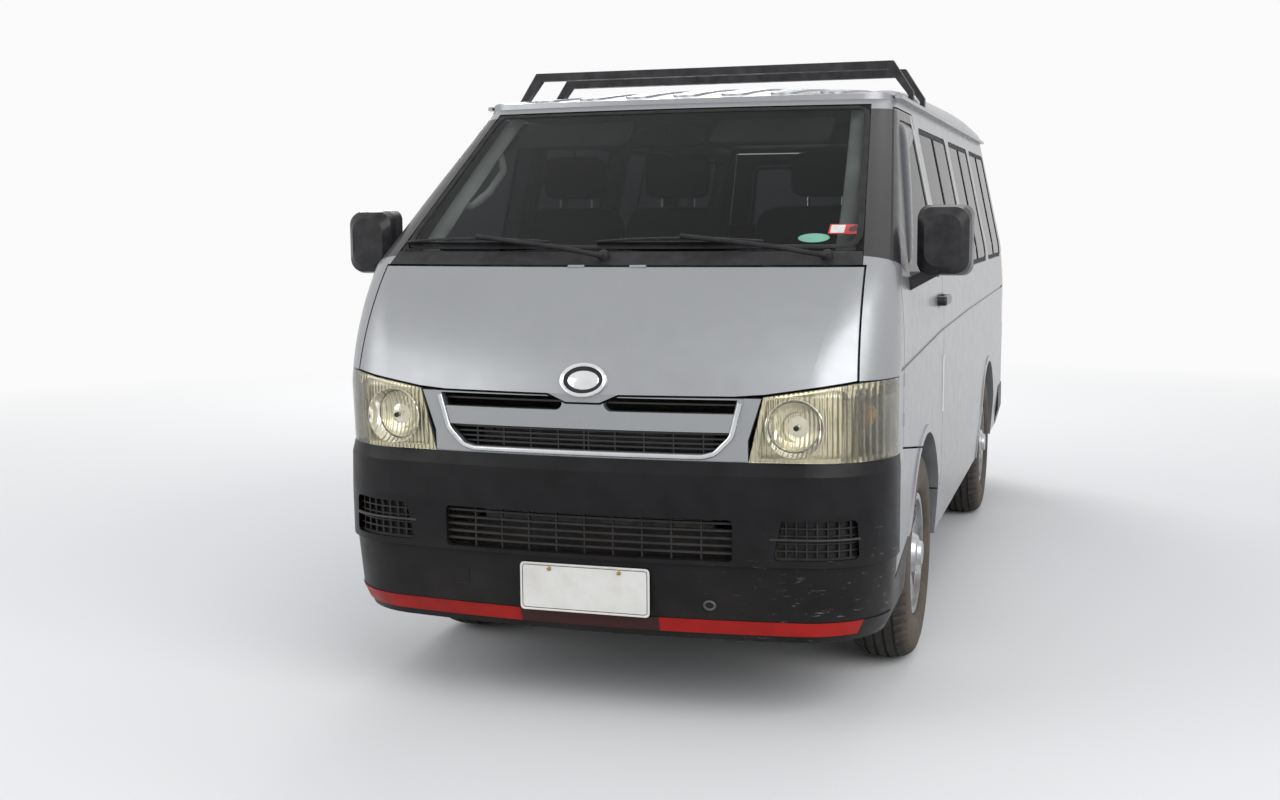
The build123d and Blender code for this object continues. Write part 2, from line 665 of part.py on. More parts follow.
# Front bumper with its openings
BUMPER_THICK = 34
BUMPER_GRILLE = [(-430, 502), (430, 502), (430, 620), (-430, 620)]
FOG = [(540, 508), (768, 510), (762, 622), (566, 626)]
FOG_ROUND = 14
bumper_stacks = (BUMPER_LOWER, BUMPER_UPPER)
with BuildPart() as bumper:
    add(body_form(0, bumper_stacks))
    add(body_form(BUMPER_THICK, bumper_stacks, overrun=4, ruled=True), mode=Mode.SUBTRACT)
    add(side_prism(BUMPER_SIDE, -REACH, REACH), mode=Mode.INTERSECT)
    add(arch(FRONT_OVERHANG, ARCH_R, -REACH, REACH), mode=Mode.SUBTRACT)
    add(front_prism(BUMPER_GRILLE, -50, 300, round_to=12), mode=Mode.SUBTRACT)
    add(both_sides(front_prism(FOG, -50, 300, round_to=FOG_ROUND)), mode=Mode.SUBTRACT)
save("front_bumper", bumper.part)

# Slats and fins in the middle opening, and a backed mesh in each corner pocket
MESH_BACK = 16
MESH_DEEP = 16
MESH_ZS = [520, 541, 562, 583, 604]
MESH_THICK = 6
MESH_XS = [-340, -255, -170, -85, 0, 85, 170, 255, 340]
POCKET = (14, 27, 32)       # insets of the mesh's face, the backing's face and its back
CELL = (24, 17)
CELL_PITCH = (28, 21)
CELL_COUNT = (8, 5)
with BuildPart() as mesh:
    for z in MESH_ZS:
        add(bowed_bar(430 - FIT, MESH_BACK, MESH_DEEP, z, z + MESH_THICK))
    for x in MESH_XS:
        fin_back = MESH_BACK + bow(x) + 2
        add(block(x - 2, x + 2, fin_back, fin_back + MESH_DEEP - 4, 502 + FIT, 620 - FIT))
fog_fit = front_prism(FOG, -50, 300, grow=-FIT, round_to=FOG_ROUND)
fog_middle = (sum(x for x, z in FOG) / len(FOG), sum(z for x, z in FOG) / len(FOG))
with BuildPart() as cells:
    with BuildSketch(Plane.XZ.offset(-at(300))):
        with Locations(fog_middle):
            with GridLocations(*CELL_PITCH, *CELL_COUNT):
                Rectangle(*CELL)
    extrude(amount=350)
    add(body_form(POCKET[1], (BUMPER_UPPER,)), mode=Mode.SUBTRACT)
with BuildPart() as pocket:
    add(fog_fit)
    add(shell(POCKET[0], POCKET[2], (BUMPER_UPPER,)), mode=Mode.INTERSECT)
    add(cells.part, mode=Mode.SUBTRACT)
with BuildPart() as bumper_grille:
    add(mesh.part)
    add(both_sides(pocket.part))
save("bumper_grille", bumper_grille.part)

# Rear bumper
with BuildPart() as rear_bumper:
    add(body_form(0, (REAR_BUMPER,), ruled=True))
    add(body_form(BUMPER_THICK, (REAR_BUMPER,), overrun=4, ruled=True), mode=Mode.SUBTRACT)
    add(block(-REACH, REACH, 4290 + FIT, LENGTH + 50, 0, REAR_BUMPER_TOP - FIT), mode=Mode.INTERSECT)
save("rear_bumper", rear_bumper.part)

# Floor with firewall, seat box and wheel houses
HOUSE_X = 400
SEAT_BOX = (720, 1520)
SEAT_BOX_TOP = 820
ENGINE = (-270, 270, 780, 1460, 300, 790)
FIREWALL = (330, 356)
FIREWALL_TOP = 1290
FLOOR_END = 4535
FLOOR_LOW = FLOOR_TOP - FLOOR_THICK
FLOOR_SIDE = [
    (FIREWALL[0], FLOOR_LOW), (FIREWALL[0], FIREWALL_TOP), (FIREWALL[1], FIREWALL_TOP), (FIREWALL[1], FLOOR_TOP),
    (SEAT_BOX[0], FLOOR_TOP), (SEAT_BOX[0], SEAT_BOX_TOP), (SEAT_BOX[1], SEAT_BOX_TOP), (SEAT_BOX[1], FLOOR_TOP),
    (FLOOR_END, FLOOR_TOP), (FLOOR_END, FLOOR_LOW),
]
house_left = block(580, REACH, REAR_SETBACK - HOUSE_R - 25, REAR_SETBACK + HOUSE_R + 25, 565, 802)
with BuildPart() as floor:
    add(side_prism(FLOOR_SIDE, -REACH, REACH))
    add(both_sides(house_left))
    add(cabin_fit, mode=Mode.INTERSECT)
    add(both_sides(arch(FRONT_OVERHANG, HOUSE_R, HOUSE_X, REACH)), mode=Mode.SUBTRACT)
    add(both_sides(arch(REAR_SETBACK, HOUSE_R, 605, REACH)), mode=Mode.SUBTRACT)
    add(block(-310, 310, 750, 1490, 0, 800), mode=Mode.SUBTRACT)
    add(both_sides(block(780, REACH, 390, 1475, 0, REACH)), mode=Mode.SUBTRACT)
save("floor", floor.part)
with BuildPart() as engine:
    add(block(*ENGINE))
    chamfer(edges().filter_by(Axis.Y), 40)
    with BuildSketch(Plane.XZ.offset(-at(ENGINE[3]))):
        with Locations((0, 400)):
            Circle(105)
    with BuildSketch(Plane.XZ.offset(-at(1950))):
        with Locations((0, 385)):
            Circle(62)
    loft()
save("engine", engine.part)

# Underframe: two rails, crossmembers and the radiator
RAIL_X = (330, 405)
RAIL_Z = (450, FLOOR_LOW)
with BuildPart() as underframe:
    add(both_sides(block(*RAIL_X, 130, 4530, *RAIL_Z)))
    for setback in (160, 640, 2010, 2400, 3020, 4080, 4500):
        add(block(-RAIL_X[0] - 5, RAIL_X[0] + 5, setback - 30, setback + 30, RAIL_Z[0] + 20, RAIL_Z[1]))
    add(both_sides(block(RAIL_X[1] - 2, 780, 1700, 1760, RAIL_Z[0] + 40, RAIL_Z[1])))
    add(both_sides(block(RAIL_X[1] - 2, 780, 2880, 2940, RAIL_Z[0] + 40, RAIL_Z[1])))
save("underframe", underframe.part)
with BuildPart() as radiator:
    add(block(-350, 350, 135, 185, FLOOR_LOW, 900))
    with BuildSketch(Plane.XZ.offset(-at(135))):
        with Locations((0, 730)):
            with GridLocations(0, 26, 1, 11):
                Rectangle(640, 14)
    extrude(amount=-10, mode=Mode.SUBTRACT)
save("radiator", radiator.part)

# Dashboard with steering column, and steering wheel
DASH_HALF = 765
DASH_GAP = 26       # to the inner face of the doors
DASH_SIDE = [(356 + FIT, 960), (356 + FIT, 1300), (420, 1318), (560, 1300), (690, 1236), (690, 1120), (600, 1000)]
WHEEL_CENTRE = (375, at(800), 1190)
COLUMN_TILT = 38    # of the steering axis above level
column_axis = Vector(0, cos(radians(COLUMN_TILT)), sin(radians(COLUMN_TILT)))
steer_plane = Plane(origin=WHEEL_CENTRE, x_dir=(1, 0, 0), z_dir=column_axis)
with BuildPart() as dashboard:
    add(side_prism(DASH_SIDE, -DASH_HALF, DASH_HALF))
    add(body_form(WALL + DASH_GAP, (MIDDLE_BODY, UPPER_BODY)), mode=Mode.INTERSECT)
    with BuildSketch(steer_plane.offset(-30)):
        Circle(38)
    extrude(amount=-200)
save("dashboard", dashboard.part)
with BuildPart() as steering_wheel:
    with BuildSketch(Plane(origin=WHEEL_CENTRE, x_dir=(1, 0, 0), z_dir=steer_plane.y_dir)):
        with Locations((190, 0)):
            Circle(15)
    revolve(axis=Axis(WHEEL_CENTRE, column_axis))
    with BuildSketch(steer_plane.offset(-22)):
        Circle(62)
    extrude(amount=26)
    with BuildSketch(steer_plane.offset(-14)):
        with PolarLocations(110, 4, start_angle=-20, angular_range=220, endpoint=True):
            Rectangle(160, 30)
    extrude(amount=14)
    with BuildSketch(steer_plane.offset(-29)):
        Circle(20)
    extrude(amount=12)
save("steering_wheel", steering_wheel.part)

# Seats: cushion, back and head rest by a table of x centre and width
FRONT_SEATS = [(420, 520), (-130, 400), (-530, 380)]
REAR_ROWS = [2000, 2750, 3520]
CUSHION = 150


# Seat outline, measured from the seat's front and its base: setback and z; TOP is added to the back's height
SEAT_DEEP = 400
SEAT_LEAN = 480
SEAT_END = 590
REST_HALF = 125
REST_HIGH = 165
REST_GAP = 28
REST_POST_R = 6
REST_POST_X = 62


def seat(centre, width, setback, base, back_top):
    """Cushion and leaning back as one form."""
    return side_prism([
        (setback, base), (setback, base + CUSHION), (setback + SEAT_DEEP, base + CUSHION - 20),
        (setback + SEAT_LEAN, back_top), (setback + SEAT_END, back_top), (setback + SEAT_END - 70, base),
    ], centre - width / 2, centre + width / 2, round_to=28)


def head_rest(centre, setback, back_top):
    """Head rest on two posts that stand in the seat back."""
    low = back_top + REST_GAP
    post_y = at(setback + (SEAT_LEAN + SEAT_END) / 2)
    with BuildPart() as rest:
        add(side_prism([
            (setback + SEAT_LEAN + 6, low), (setback + SEAT_LEAN + 14, low + REST_HIGH),
            (setback + SEAT_END - 20, low + REST_HIGH), (setback + SEAT_END - 12, low),
        ], centre - REST_HALF, centre + REST_HALF, round_to=24))
        for x in (centre - REST_POST_X, centre + REST_POST_X):
            add(rod((x, post_y, back_top - 30), (x, post_y, low + 40), REST_POST_R))
    return rest.part


FRONT_SEAT = 930
FRONT_BACK_TOP = 1490
with BuildPart() as front_seats:
    for centre, width in FRONT_SEATS:
        add(seat(centre, width, FRONT_SEAT, SEAT_BOX_TOP, FRONT_BACK_TOP))
        add(head_rest(centre, FRONT_SEAT, FRONT_BACK_TOP))
save("front_seats", front_seats.part)
REAR_BASE = 230     # bench base and top of its back above the floor
REAR_BACK = 820
BENCH_WIDE = 1240
BENCH_LEG_X = 480
with BuildPart() as rear_seats:
    for setback in REAR_ROWS:
        add(seat(0, BENCH_WIDE, setback, FLOOR_TOP + REAR_BASE, FLOOR_TOP + REAR_BACK))
        for x in (-BENCH_LEG_X, BENCH_LEG_X):
            add(block(x - 25, x + 25, setback + 60, setback + 440, FLOOR_TOP, FLOOR_TOP + REAR_BASE + 10))
save("rear_seats", rear_seats.part)

# Door mirrors: housing by a table of setback, how much narrower than its glass side, and corner radius
MIRROR_X = (MIRROR_SPAN / 2 - 164, MIRROR_SPAN / 2)
MIRROR_Z = (1272, 1482)
MIRROR_SECTIONS = [(548, 56, 44), (572, 14, 44), (600, 4, 40), (644, 0, 32)]
MIRROR_FRAME = 10
MIRROR_ARM = [(800, 1208), (800, 1250), (MIRROR_X[0] + 46, 1300), (MIRROR_X[0] + 70, 1276)]
MIRROR_ARM_S = (580, 626)
MIRROR_MIDDLE = (sum(MIRROR_X) / 2, sum(MIRROR_Z) / 2)
with BuildPart() as mirror_left:
    for setback, less, corner in MIRROR_SECTIONS:
        with BuildSketch(Plane.XZ.offset(-at(setback))):
            with Locations(MIRROR_MIDDLE):
                RectangleRounded(MIRROR_X[1] - MIRROR_X[0] - less, MIRROR_Z[1] - MIRROR_Z[0] - less, corner)
    loft(ruled=True)
    with BuildSketch(Plane.XZ.offset(-at(MIRROR_SECTIONS[-1][0]))):
        with Locations(MIRROR_MIDDLE):
            RectangleRounded(MIRROR_X[1] - MIRROR_X[0] - 2 * MIRROR_FRAME,
                             MIRROR_Z[1] - MIRROR_Z[0] - 2 * MIRROR_FRAME, 24)
    extrude(amount=8, mode=Mode.SUBTRACT)
    add(front_prism(MIRROR_ARM, *MIRROR_ARM_S))
    add(body_form(-FIT, (MIDDLE_BODY,)), mode=Mode.SUBTRACT)
save("mirror_left", mirror_left.part)
with BuildPart() as mirror_right:
    mirror(mirror_left.part, about=Plane.YZ)
save("mirror_right", mirror_right.part)

# Roof rack: flat bars whose bent legs stand on the drip gutters
RACK_BARS = [1430, 1760]
RACK_Z = 1960
RACK_BAR = (38, 28)     # width along the van and height
RACK_HALF = 630
RACK_LEG = [
    (ROOF_HALF + 1, GUTTER[1]), (ROOF_HALF + GUTTER_OUT - 2, GUTTER[1]), (ROOF_HALF + GUTTER_OUT - 2, GUTTER[1] + 34),
    (RACK_HALF + 34, RACK_Z + RACK_BAR[1]), (RACK_HALF - 1, RACK_Z + RACK_BAR[1]), (RACK_HALF - 1, RACK_Z),
    (RACK_HALF + 16, RACK_Z), (ROOF_HALF + 1, GUTTER[1] + 22),
]
with BuildPart() as roof_rack:
    for setback in RACK_BARS:
        span = (setback - RACK_BAR[0] / 2, setback + RACK_BAR[0] / 2)
        add(block(-RACK_HALF, RACK_HALF, *span, RACK_Z, RACK_Z + RACK_BAR[1]))
        add(both_sides(front_prism(RACK_LEG, *span)))
save("roof_rack", roof_rack.part)

# Wipers, parked: an arm from its pivot to the middle of its blade, both following the screen
WIPERS = [(-20, -465), (635, 190)]      # x of the pivot and of the blade's middle
WIPER_OUT = 16
WIPER_PIVOT_Z = 1340
WIPER_ARM_Z = (1334, 1370)
BLADE_HALF = 272
BLADE_Z = (1362, 1374)
PIVOT_R = 15
with BuildPart() as wiper_plan:
    for pivot, middle in WIPERS:
        low, high = WIPER_ARM_Z
        add(front_prism([(pivot + 6, low), (pivot, low + 16), (middle, high), (middle + 6, high - 8)], -50, 700))
        low, high = BLADE_Z
        add(front_prism([(middle - BLADE_HALF, low + 4), (middle + BLADE_HALF, low - 4),
                         (middle + BLADE_HALF, high - 6), (middle - BLADE_HALF, high)], -50, 700))
SCREEN_LEAN = (UPPER_BODY[1][2] - UPPER_BODY[0][2]) / (GUTTER_Z - COWL_Z)
with BuildPart() as wipers:
    add(body_form(-WIPER_OUT, (UPPER_BODY,)))
    add(wiper_plan.part, mode=Mode.INTERSECT)
    for pivot, middle in WIPERS:
        skin_s = UPPER_BODY[0][2] + (WIPER_PIVOT_Z - COWL_Z) * SCREEN_LEAN + bow(pivot)
        add(rod((pivot, at(skin_s + 12), WIPER_PIVOT_Z - 18), (pivot, at(skin_s - 14), WIPER_PIVOT_Z + 21), PIVOT_R))
    add(body_form(-FIT, (UPPER_BODY,), overrun=40), mode=Mode.SUBTRACT)
save("wipers", wipers.part)


# Wheels: many-sided tyre, by a table of x from its middle and radius, and a rim turned about the axle line
TYRE_SIDES = 52
TREAD_HALF = 76
TYRE_FORM = [(TREAD_HALF, TYRE_R), (TYRE_W / 2 - 6, TYRE_R - 23), (TYRE_W / 2, TYRE_R - 80)]
DISH = [(TREAD_HALF, 202), (TYRE_W / 2 + 1, TYRE_R - 84)]


def tyre(x_centre, setback):
    """Tyre as a ring with rounded shoulders and dished sidewalls."""
    with BuildPart() as ring:
        for x, radius in [(-x, radius) for x, radius in reversed(TYRE_FORM)] + TYRE_FORM:
            with BuildSketch(Plane.YZ.offset(x_centre + x)):
                with Locations((at(setback), AXLE_Z)):
                    RegularPolygon(radius, TYRE_SIDES)
        loft(ruled=True)
        for side in (-1, 1):
            for x, radius in DISH:
                with BuildSketch(Plane.YZ.offset(x_centre + side * x)):
                    with Locations((at(setback), AXLE_Z)):
                        RegularPolygon(radius, TYRE_SIDES)
            loft(ruled=True, mode=Mode.SUBTRACT)
        with BuildSketch(Plane.YZ.offset(x_centre - TYRE_W)):
            with Locations((at(setback), AXLE_Z)):
                RegularPolygon(RIM_R + FIT, TYRE_SIDES, major_radius=False)
        extrude(amount=2 * TYRE_W, mode=Mode.SUBTRACT)
    return ring.part


# Rim: x from the wheel's middle towards the outside, and radius
FLANGE = 8
BARREL = [
    (-RIM_W / 2, RIM_R - 12), (-RIM_W / 2, RIM_R + FLANGE), (-TREAD_HALF - 2.5, RIM_R + FLANGE), (-TREAD_HALF - 2.5, RIM_R),
    (TREAD_HALF + 2.5, RIM_R), (TREAD_HALF + 2.5, RIM_R + FLANGE), (RIM_W / 2, RIM_R + FLANGE), (RIM_W / 2, RIM_R - 12),
]
DISC = [
    (38, 0), (38, 95), (52, RIM_R - 8), (66, RIM_R - 8), (60, 95), (66, 70), (88, 58), (92, 44), (104, 38), (104, 0),
]
WINDOWS = 8
WINDOW = [(100, -13), (168, -32), (168, 32), (100, 13)]     # radius and distance from its middle line
HUB_R = 62
HUB_BORE = 26
HUB_X = (-20, 40)
BORE_X = (-21, 54)


def rim(side, setback):
    """Rim barrel with a windowed disc, hub and centre cap; side is 1 for left, -1 for right."""
    axle = Axis((0, at(setback), AXLE_Z), (1, 0, 0))
    centre = side * WHEEL_X
    with BuildPart() as form:
        for profile in (BARREL, DISC):
            with BuildSketch(Plane.XZ.offset(-at(setback))):
                with BuildLine():
                    Polyline([(centre + side * x, AXLE_Z + radius) for x, radius in profile], close=True)
                make_face()
            revolve(axis=axle)
        with BuildSketch(Plane.YZ.offset(centre)):
            with Locations((at(setback), AXLE_Z)):
                with PolarLocations(0, WINDOWS):
                    Polygon(*WINDOW, align=None)
            fillet(vertices(), 8)
        extrude(amount=side * RIM_W, mode=Mode.SUBTRACT)
        with BuildSketch(Plane.YZ.offset(centre + side * HUB_X[0])):
            with Locations((at(setback), AXLE_Z)):
                Circle(HUB_R)
        extrude(amount=side * (HUB_X[1] - HUB_X[0]))
        with BuildSketch(Plane.YZ.offset(centre + side * BORE_X[0])):
            with Locations((at(setback), AXLE_Z)):
                Circle(HUB_BORE)
        extrude(amount=side * (BORE_X[1] - BORE_X[0]), mode=Mode.SUBTRACT)
    return form.part


WHEELS = [
    ("front_left", 1, FRONT_OVERHANG), ("front_right", -1, FRONT_OVERHANG),
    ("rear_left", 1, REAR_SETBACK), ("rear_right", -1, REAR_SETBACK),
]
for place, side, setback in WHEELS:
    save("tyre_" + place, tyre(side * WHEEL_X, setback))
    save("rim_" + place, rim(side, setback))

# Knuckles: kingpin post, spindle and backing plate
ARM_LOW_TOP = 232
ARM_HIGH_LOW = 426
POST_R = 26
SPINDLE_END = 34    # past the wheel's middle
PLATE_X = (32, 38)  # backing plate, from the kingpin outwards
PLATE_R = 140
for name, side in (("knuckle_left", 1), ("knuckle_right", -1)):
    pin_x = side * KINGPIN_X
    with BuildPart() as knuckle:
        add(rod((pin_x, FRONT_AXLE, ARM_LOW_TOP + FIT), (pin_x, FRONT_AXLE, ARM_HIGH_LOW - FIT), POST_R))
        for x_from, x_to, radius in (
            (KINGPIN_X - 10, WHEEL_X + SPINDLE_END, HUB_BORE - 1),
            (KINGPIN_X + PLATE_X[0], KINGPIN_X + PLATE_X[1], PLATE_R),
        ):
            add(rod((side * x_from, FRONT_AXLE, AXLE_Z), (side * x_to, FRONT_AXLE, AXLE_Z), radius))
    save(name, knuckle.part)

# Front suspension: crossmember, towers and arms
with BuildPart() as front_suspension:
    add(block(-405, 405, 905, 1065, 205, 285))
    add(both_sides(block(*RAIL_X, 920, 1050, 284, RAIL_Z[0] - FIT)))
    for z_from, z_to in ((ARM_LOW_TOP - 24, ARM_LOW_TOP), (ARM_HIGH_LOW, ARM_HIGH_LOW + 22)):
        with BuildSketch(Plane.XY.offset(z_from)):
            with BuildLine():
                Polyline([(400, at(925)), (400, at(1045)), (655, at(1013)), (655, at(957))], close=True)
            make_face()
            with Locations((655, FRONT_AXLE)):
                Circle(28)
        extrude(amount=z_to - z_from)
    mirror(about=Plane.YZ)
save("front_suspension", front_suspension.part)

# Rear axle: tube, differential, drums and leaf springs on their hangers
SPRING_X = 500
AXLE_R = 42
DRUM_R = 140
with BuildPart() as rear_axle:
    add(rod((-WHEEL_X + 40, REAR_AXLE, AXLE_Z), (WHEEL_X - 40, REAR_AXLE, AXLE_Z), AXLE_R))
    with Locations((0, REAR_AXLE, AXLE_Z)):
        Sphere(135)
    add(rod((0, REAR_AXLE - 180, AXLE_Z), (0, REAR_AXLE, AXLE_Z), 60))
    for side in (-1, 1):
        add(rod((side * 632, REAR_AXLE, AXLE_Z), (side * (WHEEL_X - 22), REAR_AXLE, AXLE_Z), DRUM_R))
        add(rod((side * 690, REAR_AXLE, AXLE_Z), (side * (WHEEL_X + 34), REAR_AXLE, AXLE_Z), HUB_BORE - 1))
# Leaves: half length and drop below the top leaf
LEAF = 8
LEAVES = [(580, 0), (430, LEAF), (290, 2 * LEAF)]
with BuildPart() as springs:
    for half, drop in LEAVES:
        rise = 80 * (half / 580) ** 2
        middle = AXLE_Z + AXLE_R + 24 - drop
        with BuildSketch(Plane.YZ.offset(SPRING_X - 30)):
            with BuildLine():
                front_y, rear_y, end_z = REAR_AXLE - half, REAR_AXLE + half, middle + rise
                ThreePointArc((front_y, end_z), (REAR_AXLE, middle), (rear_y, end_z))
                Line((rear_y, end_z), (rear_y, end_z - LEAF))
                ThreePointArc((rear_y, end_z - LEAF), (REAR_AXLE, middle - LEAF), (front_y, end_z - LEAF))
                Line((front_y, end_z - LEAF), (front_y, end_z))
            make_face()
        extrude(amount=60)
    with BuildSketch(Plane.YZ.offset(SPRING_X - 32)):
        with Locations((REAR_AXLE - 580, AXLE_Z + 150), (REAR_AXLE + 580, AXLE_Z + 150)):
            Rectangle(44, 130)
    extrude(amount=64)
    add(block(SPRING_X - 34, SPRING_X + 34, REAR_SETBACK - 55, REAR_SETBACK + 55, AXLE_Z + 20, AXLE_Z + 74))
    mirror(about=Plane.YZ)
with BuildPart() as axle_whole:
    add(rear_axle.part)
    add(springs.part)
    add(block(-REACH, REACH, 2900, 4300, FLOOR_LOW, REACH), mode=Mode.SUBTRACT)
save("rear_axle", axle_whole.part)

# Propeller shaft, exhaust and fuel tank
with BuildPart() as shaft:
    add(rod((0, at(1951.4), 385), (0, REAR_AXLE - 181.4, AXLE_Z), 36))
save("prop_shaft", shaft.part)
# Pipe corners: x, setback, z; it passes over the axle and outside the spare wheel
PIPE = [
    (-230, 1460 + FIT, 400), (-230, 1700, 400), (-230, 3100, 380), (-230, 3300, 505), (-230, 3720, 505),
    (-245, 3880, 395), (-425, 4000, 395), (-425, 4600, 395),
]
with BuildPart() as exhaust:
    with BuildLine() as pipe_line:
        FilletPolyline(*[(x, at(setback), z) for x, setback, z in PIPE], radius=90)
    with BuildSketch(Plane(origin=pipe_line.line @ 0, z_dir=pipe_line.line % 0)):
        Circle(25)
    sweep()
    add(block(-330, -130, 2250, 2830, 310, 440))
save("exhaust", exhaust.part)
with BuildPart() as tank:
    add(block(425, 760, 1900, 2800, 360, FLOOR_LOW))
    fillet(edges().filter_by(Axis.Y), 40)
save("fuel_tank", tank.part)

# Spare wheel, held up flat under the rear crossmembers
SPARE_S = 4285
SPARE_TOP = RAIL_Z[0] + 20 - FIT
SPARE_DISH = 60
with BuildPart() as spare_wheel:
    for z, radius in ((SPARE_TOP - TYRE_W, TYRE_R - 60), (SPARE_TOP - TYRE_W + 30, TYRE_R),
                      (SPARE_TOP - 30, TYRE_R), (SPARE_TOP, TYRE_R - 60)):
        with BuildSketch(Plane.XY.offset(z)):
            with Locations((0, at(SPARE_S))):
                RegularPolygon(radius, TYRE_SIDES)
    loft(ruled=True)
    with BuildSketch(Plane.XY.offset(SPARE_TOP - TYRE_W)):
        with Locations((0, at(SPARE_S))):
            Circle(RIM_R)
    extrude(amount=SPARE_DISH, mode=Mode.SUBTRACT)
    with BuildSketch(Plane.XY.offset(SPARE_TOP - TYRE_W + SPARE_DISH)):
        with Locations((0, at(SPARE_S))):
            with PolarLocations(HUB_R + 60, 5):
                Circle(22)
    extrude(amount=SPARE_DISH / 2, mode=Mode.SUBTRACT)
save("spare_wheel", spare_wheel.part)

# Lip under the front bumper
with BuildPart() as lip:
    add(body_form(-4, (BUMPER_LOWER,)))
    add(body_form(-FIT, (BUMPER_LOWER,), overrun=4), mode=Mode.SUBTRACT)
    add(block(-REACH, REACH, -50, 300, 286, 328), mode=Mode.INTERSECT)
save("bumper_lip", lip.part)

# Mud flaps behind the wheels
with BuildPart() as flaps:
    for setback in (FRONT_OVERHANG + ARCH_R + 30, REAR_SETBACK + ARCH_R + 30):
        add(block(640, 762, setback, setback + 6, 190, FLOOR_LOW))
    mirror(about=Plane.YZ)
save("mud_flaps", flaps.part)
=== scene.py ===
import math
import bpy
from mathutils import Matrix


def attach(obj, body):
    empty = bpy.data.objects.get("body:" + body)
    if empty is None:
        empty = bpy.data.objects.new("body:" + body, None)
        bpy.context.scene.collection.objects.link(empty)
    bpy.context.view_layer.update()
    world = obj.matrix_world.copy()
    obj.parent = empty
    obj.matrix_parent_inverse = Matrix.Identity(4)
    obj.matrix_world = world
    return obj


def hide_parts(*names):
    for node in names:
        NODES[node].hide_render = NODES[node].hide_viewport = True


bl_info = {
    "name": "Passenger Van Finishes",
    "version": (1, 0, 0),
    "blender": (4, 5, 0),
    "location": "3D View > Sidebar > Van",
    "description": "Tyres, seals, lamps, seats, paint and studio round the van's frame",
    "category": "Object",
}

import bmesh
import bpy
import numpy as np
from mathutils import Matrix, Vector

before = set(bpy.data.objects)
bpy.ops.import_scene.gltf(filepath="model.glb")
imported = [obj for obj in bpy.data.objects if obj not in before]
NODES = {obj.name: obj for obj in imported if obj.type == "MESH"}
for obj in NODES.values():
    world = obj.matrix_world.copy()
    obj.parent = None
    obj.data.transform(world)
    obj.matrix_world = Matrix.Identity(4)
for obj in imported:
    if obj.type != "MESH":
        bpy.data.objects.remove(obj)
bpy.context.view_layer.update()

# Frame: X to the van's left, Y to its rear, Z up, in metres
LENGTH = 4.695
NOSE_BOW = 4.0
FRONT = -LENGTH / 2
AXLE_Z = 0.345
WHEEL_X = 0.735
FRONT_AXLE = FRONT + 0.985
REAR_AXLE = FRONT_AXLE + 2.570
WHEELS = {
    "front_left": (1, FRONT_AXLE), "front_right": (-1, FRONT_AXLE),
    "rear_left": (1, REAR_AXLE), "rear_right": (-1, REAR_AXLE),
}
SPARE_SETBACK = 4.285
BELT_Z = 1.238
WINDOW_TOP = 1.765
SIDE_WINDOWS = [(1.572, 2.484), (2.600, 3.460), (3.560, 4.380)]
DOOR_WINDOW = [(0.560, 1.264), (1.100, 1.765), (1.412, 1.765), (1.412, 1.238)]
SCREEN = [(-0.730, 1.352), (0.730, 1.352), (0.650, 1.812), (-0.650, 1.812)]
TAIL_WINDOW = [(-0.610, 1.252), (0.610, 1.252), (0.552, 1.742), (-0.552, 1.742)]


def at(setback):
    """Y of a place measured back from the foremost point."""
    return FRONT + setback


# Sizes and colours that a user may change


class VanSizes(bpy.types.PropertyGroup):
    """Sizes of the added pieces."""

    tread_depth: bpy.props.FloatProperty(
        name="Tread depth", description="Depth of the grooves round the tyre", default=0.008, unit="LENGTH")
    tread_blocks: bpy.props.IntProperty(
        name="Tread blocks", description="Blocks round one tyre", default=60)
    plate_width: bpy.props.FloatProperty(
        name="Plate width", description="Width of the blank number plates", default=0.390, unit="LENGTH")
    plate_height: bpy.props.FloatProperty(
        name="Plate height", description="Height of the blank number plates", default=0.140, unit="LENGTH")
    seal_width: bpy.props.FloatProperty(
        name="Seal width", description="Width of the black band round a pane", default=0.019, unit="LENGTH")
    blade_length: bpy.props.FloatProperty(
        name="Wiper blade", description="Length of a wiper blade", default=0.500, unit="LENGTH")


class VanColours(bpy.types.PropertyGroup):
    """Colours of the finishes."""

    silver: bpy.props.FloatVectorProperty(
        name="Body silver", description="Metallic paint of the panels", subtype="COLOR",
        default=(0.33, 0.338, 0.35), min=0, max=1)
    bumper: bpy.props.FloatVectorProperty(
        name="Bumper black", description="Satin black of the bumpers", subtype="COLOR",
        default=(0.0065, 0.0065, 0.0072), min=0, max=1)
    lip: bpy.props.FloatVectorProperty(
        name="Lip red", description="Faded red band under the bumper", subtype="COLOR",
        default=(0.46, 0.016, 0.012), min=0, max=1)
    lens: bpy.props.FloatVectorProperty(
        name="Lens yellow", description="Aged clear plastic of the headlamps", subtype="COLOR",
        default=(0.97, 0.94, 0.83), min=0, max=1)
    tint: bpy.props.FloatVectorProperty(
        name="Glass tint", description="Dark film on the glass", subtype="COLOR",
        default=(0.030, 0.034, 0.036), min=0, max=1)
    screen: bpy.props.FloatVectorProperty(
        name="Windscreen tint", description="Film on the windscreen", subtype="COLOR",
        default=(0.31, 0.33, 0.34), min=0, max=1)
    rubber: bpy.props.FloatVectorProperty(
        name="Tyre rubber", description="Dry black rubber", subtype="COLOR",
        default=(0.022, 0.020, 0.018), min=0, max=1)
    dust: bpy.props.FloatVectorProperty(
        name="Road dust", description="Brown dust low on the van", subtype="COLOR",
        default=(0.20, 0.155, 0.115), min=0, max=1)
    seats: bpy.props.FloatVectorProperty(
        name="Seat cloth", description="Grey cloth of the seats", subtype="COLOR",
        default=(0.045, 0.045, 0.048), min=0, max=1)


def sizes():
    """Sizes as the panel has them."""
    return bpy.context.scene.van_sizes


def colours():
    """Colours as the panel has them."""
    return bpy.context.scene.van_colours


